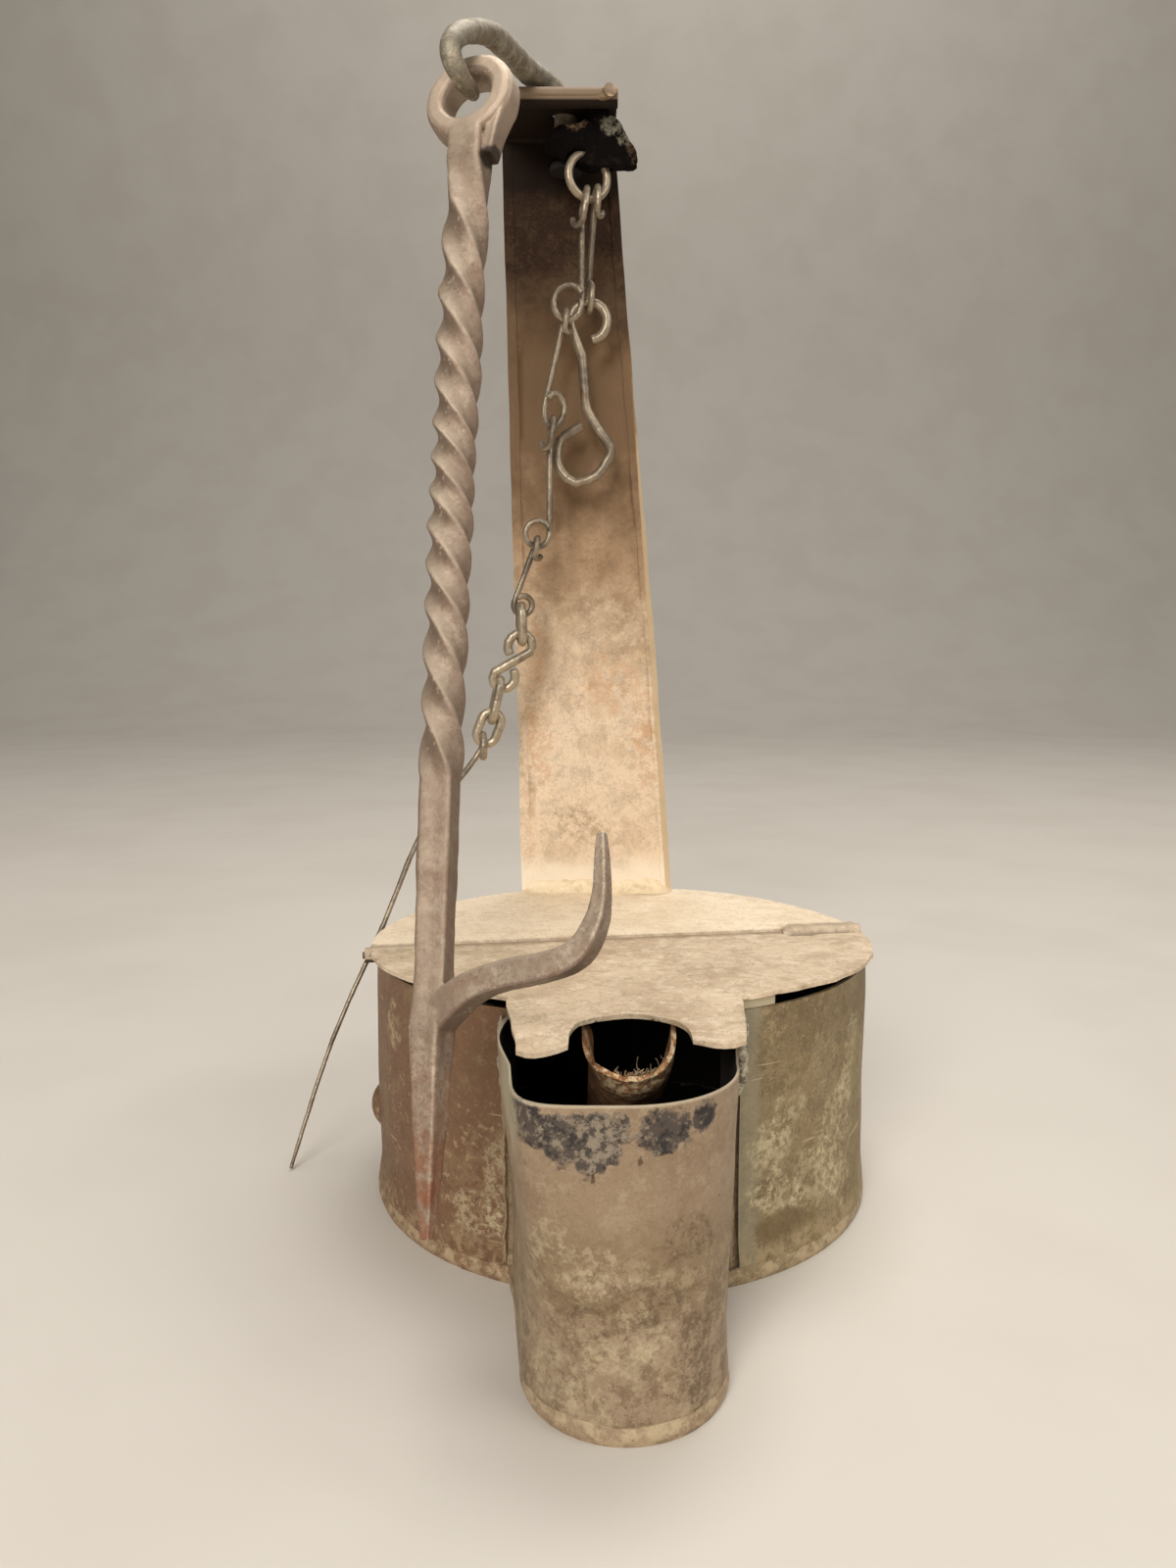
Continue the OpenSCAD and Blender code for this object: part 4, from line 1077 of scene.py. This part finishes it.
def dress_chain():
    for node in frame["nodes"]:
        if node not in LOOKS:
            mesh = remade(copy_mm(node), voxel=0.15, passes=4)
            p = places(mesh)
            amount = wire_fat(node) + 0.05 * cloud(p, 2.2, 41) + 0.03 * cloud(p, 0.7, 42)
            move(mesh, p + outward(mesh) * amount[:, None])
            stand_for(node, mesh, node + "_wire", 60)


# The wick support's lip, slope and radius, as in the CAD
TROUGH_LIP = np.array([0.0, -46.0, 37.5])
TROUGH_SLOPE = math.radians(34)
TROUGH_R = 4.9
TROUGH_ALONG = np.array([0, math.cos(TROUGH_SLOPE), -math.sin(TROUGH_SLOPE)])
TROUGH_UP = np.array([0, math.sin(TROUGH_SLOPE), math.cos(TROUGH_SLOPE)])


def dress_trough():
    """The wick support, its lip torn and rusted ragged."""
    mesh = gridded("wick_support", (0.8, 1.0, 0.8))
    p = places(mesh)
    off = p - TROUGH_LIP
    near = ramp(-(off @ TROUGH_ALONG), -3.5, 0)
    left = ramp(-off[:, 0], 2, 6)
    up = off @ TROUGH_UP
    tear = 0.9 * cloud(p * (1, 0.2, 0.2), 1.6, 51) + 0.5 * cloud(p * (1, 0.2, 0.2), 0.6, 52)
    p -= TROUGH_ALONG * (near * tear)[:, None]
    p += TROUGH_UP * (near * ramp(up, -1, 2) * (1.6 * left + 0.8 * cloud(p, 1.5, 53)))[:, None]
    outer = np.hypot(off[:, 0], np.minimum(up, 0)) > TROUGH_R - 0.3
    p[:, 0] -= 0.9 * near * outer * ramp(-off[:, 0], 1.5, 4)
    p += TROUGH_UP * (near * 0.9 + 0.12 * cloud(p, 2, 54))[:, None]
    move(mesh, p)
    stand_for("wick_support", mesh, "wick_support_sheet")


# Frayed strands of the wick at the trough's lip
STRANDS = 80


def dress_wick():
    """What is left of the wick: plies deep in the trough, painted near black as shade, and pale fibres
    frayed along its lip.
    """
    rng = random.Random(7)
    verts, faces = [], []
    core = TROUGH_LIP - TROUGH_UP * (TROUGH_R - 2.4)
    plies, length, first, stations = 7, 34.0, 13.0, 40
    for ply in range(plies):
        turn0 = 2 * math.pi * ply / (plies - 1)
        reach = 0.0 if ply == 0 else 1.5
        path, radii = [], []
        for k in range(stations):
            s = first + rng.uniform(0, 4) * (k == 0) + length * k / (stations - 1)
            turn = turn0 + s * 0.14
            path.append(
                core + TROUGH_ALONG * s
                + reach * (math.cos(turn) * np.array([1, 0, 0]) + math.sin(turn) * TROUGH_UP)
            )
            radii.append(0.8 + 0.1 * rng.uniform(-1, 1) if k else 0.3)
        tube(path, radii, 9, verts, faces)
    for _ in range(STRANDS):
        spread = max(-2.6, min(4.2, rng.gauss(1.2, 1.8)))
        begin, end = rng.uniform(2.5, 7), rng.uniform(-0.9, 1.2)
        curl, lift = rng.gauss(0, 0.7), abs(rng.gauss(0, 1.0 if rng.random() < 0.04 else 0.1))
        floor_at = math.sqrt(TROUGH_R**2 - spread**2) - 0.35 - abs(rng.gauss(0, 0.25))
        path = []
        for k in range(9):
            t = k / 8
            path.append(
                TROUGH_LIP + TROUGH_ALONG * (begin + (end - begin) * t)
                + np.array([1, 0, 0]) * (spread + curl * t * t + rng.uniform(-0.1, 0.1))
                - TROUGH_UP * (floor_at - 0.8 * t - lift * t**3 + rng.uniform(-0.08, 0.08))
            )
        thick = rng.uniform(0.05, 0.1)
        tube(path, [thick * (1 - 0.5 * k / 8) for k in range(9)], 5, verts, faces)
    stand_for("wick", mesh_from(verts, faces), "wick_fibres", 70)


# The top wire's bent end: x, and how far forward and up
WIRE_BEND = ((-3.6, 0.1, 0), (-2.8, 0.5, 0.05), (-2.1, 1.1, 0.1), (-1.7, 1.7, 0.15), (-1.5, 2.3, 0.2))


def dress_top_wire():
    """Wire in the shelf's edge, its right end turned forward to a bright cut."""
    y, z = 19.0, 179.2
    path = [(x, y, z) for x in np.linspace(-21.0, -4.4, 24)]
    path += [(x, y - forward, z + up) for x, forward, up in WIRE_BEND]
    verts, faces = [], []
    radii = [1.0 + 0.05 * noise.noise(Vector(q) / 2.0) for q in path]
    radii[-1] *= 1.12
    tube(path, radii, 20, verts, faces)
    stand_for("top_wire", mesh_from(verts, faces), "top_wire_bent", 50)


def add_crud():
    """Grey solder, lumped high in the slots between the spout and the font wall and thin below."""
    for name, x_top, x_low, top, size, seed in (
        ("slot_solder_right", 15.2, 13.9, 38.4, 1.0, 61), ("slot_solder_left", -17.3, -17.0, 38.0, 0.55, 62),
    ):
        rings, bottom, path, radii = 130, 3.0, [], []
        for k in range(rings):
            z = top + (bottom - top) * k / (rings - 1)
            lump = noise.noise(Vector((seed, 0, z / 2.2))) + 0.6 * noise.noise(Vector((seed, 3, z / 0.7)))
            upper = float(ramp(np.array(z), 26, 30))
            x = x_low + (x_top - x_low) * upper + 0.25 * noise.noise(Vector((seed, 5, z / 4)))
            path.append((x, -math.sqrt(DRUM_R**2 - x**2) - 0.1 + 0.2 * lump, z))
            ends = min(1, 0.3 + k / 6, 0.3 + (rings - 1 - k) / 6)
            radii.append(max(0.12, size * (0.45 + 0.55 * upper) * (0.8 + 0.45 * lump) * ends))
        verts, faces = [], []
        tube(path, radii, 14, verts, faces)
        mesh = mesh_from(verts, faces)
        p = places(mesh)
        move(mesh, p + 0.22 * np.stack([cloud(p, 0.9, seed + i) for i in range(3)], 1))
        piece = new_piece(name, mesh, LOOKS["slot_solder"])
        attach(piece, "lamp")


# Stage and light


def floor_paint():
    p = Paint("floor_paint", "#d2ccc2", 0.85, 0.0)
    p.over(p.band(p.noise(60, 251, 3), 0.4, 0.65), "#ccc5bb", 0.85, 0.6)
    p.relief(p.noise(0.8, 252, 3), 0.02)
    return p.done()


def make_stage():
    """A pale sweep: floor, curved back and wall."""
    half, front, back, radius, top, steps = 3.0, -3.0, 1.0, 0.6, 3.0, 16
    profile = [(front, 0.0), (back, 0.0)]
    for k in range(1, steps + 1):
        turn = math.pi / 2 * k / steps
        profile.append((back + radius * math.sin(turn), radius * (1 - math.cos(turn))))
    profile.append((back + radius, top))
    verts = [(x, y, z) for y, z in profile for x in (-half, half)]
    faces = [(2 * i, 2 * i + 1, 2 * i + 3, 2 * i + 2) for i in range(len(profile) - 1)]
    mesh = mesh_from(verts, faces)
    mesh.shade_smooth()
    floor = add_object("floor", mesh)
    set_material(floor, floor_paint())


STUDIO_COLOUR, STUDIO_STRENGTH = (0.9, 0.87, 0.83, 1), 0.14


def make_light():
    lamp_at, wall_at = (0, 0, 0.08), (0.1, 1.6, 0.7)
    for name, place, target, size, power, colour in (
        ("key", (-0.17, -0.58, 0.36), lamp_at, 0.3, 3.3, (1.0, 0.96, 0.91)),
        ("fill", (0.5, -0.35, 0.45), lamp_at, 0.5, 1.7, (1.0, 0.97, 0.93)),
        ("top", (0.05, 0.05, 0.7), lamp_at, 0.35, 1.6, (1.0, 0.96, 0.91)),
        ("back", (0.3, 0.5, 0.9), lamp_at, 0.5, 1.4, (1.0, 0.97, 0.93)),
        ("wall", (0.1, 0.5, 1.7), wall_at, 0.8, 10.0, (1.0, 0.97, 0.93)),
    ):
        lamp = bpy.data.lights.new(name, "AREA")
        lamp.shape = "DISK"
        lamp.size = size
        lamp.energy = power
        lamp.color = colour
        obj = add_object(name, lamp)
        obj.location = place
        obj.rotation_euler = (Vector(target) - Vector(place)).to_track_quat("-Z", "Y").to_euler()
    world = bpy.data.worlds.new("studio")
    bpy.context.scene.world = world
    world.use_nodes = True
    shade = world.node_tree.nodes["Background"]
    shade.inputs["Color"].default_value = STUDIO_COLOUR
    shade.inputs["Strength"].default_value = STUDIO_STRENGTH
    bpy.context.scene.view_settings.view_transform = "Standard"


make_camera()
make_stage()
make_light()

iron_wire = wire_iron("iron_wire", "#9c8d78", 191)
small_wire = wire_iron("small_wire", "#b0a28b", 196)
dark_wire = wire_iron("dark_wire", "#6f655a", 201)
LOOKS = {
    "base_plate": base_tin(), "drum_wall": drum_tin(), "spout_wall": spout_tin(),
    "rear_cover": cover_tin("cover_tin", "#f6e4c8", "#d9c09e", 0.0, 101),
    "lid": cover_tin("lid_tin", "#d9c3a5", "#a48b6d", 0.05, 111),
    "hinge_pin": dark_wire, "wick_support": trough_rust(), "wick": wick_fibre(),
    "upright": strap_tin(), "upright_solder": solder_grey(), "top_wire": rim_copper(),
    "swivel_block": block_iron(), "swivel_hook": hook_iron(), "hanger": hanger_iron(),
    "slot_solder": crud_grey(),
}
for node, obj in frame["nodes"].items():
    set_material(obj, look_of(node))

dress_font()
dress_covers()
dress_strap()
dress_solder()
dress_iron()
dress_chain()
dress_trough()
dress_wick()
dress_top_wire()
add_crud()
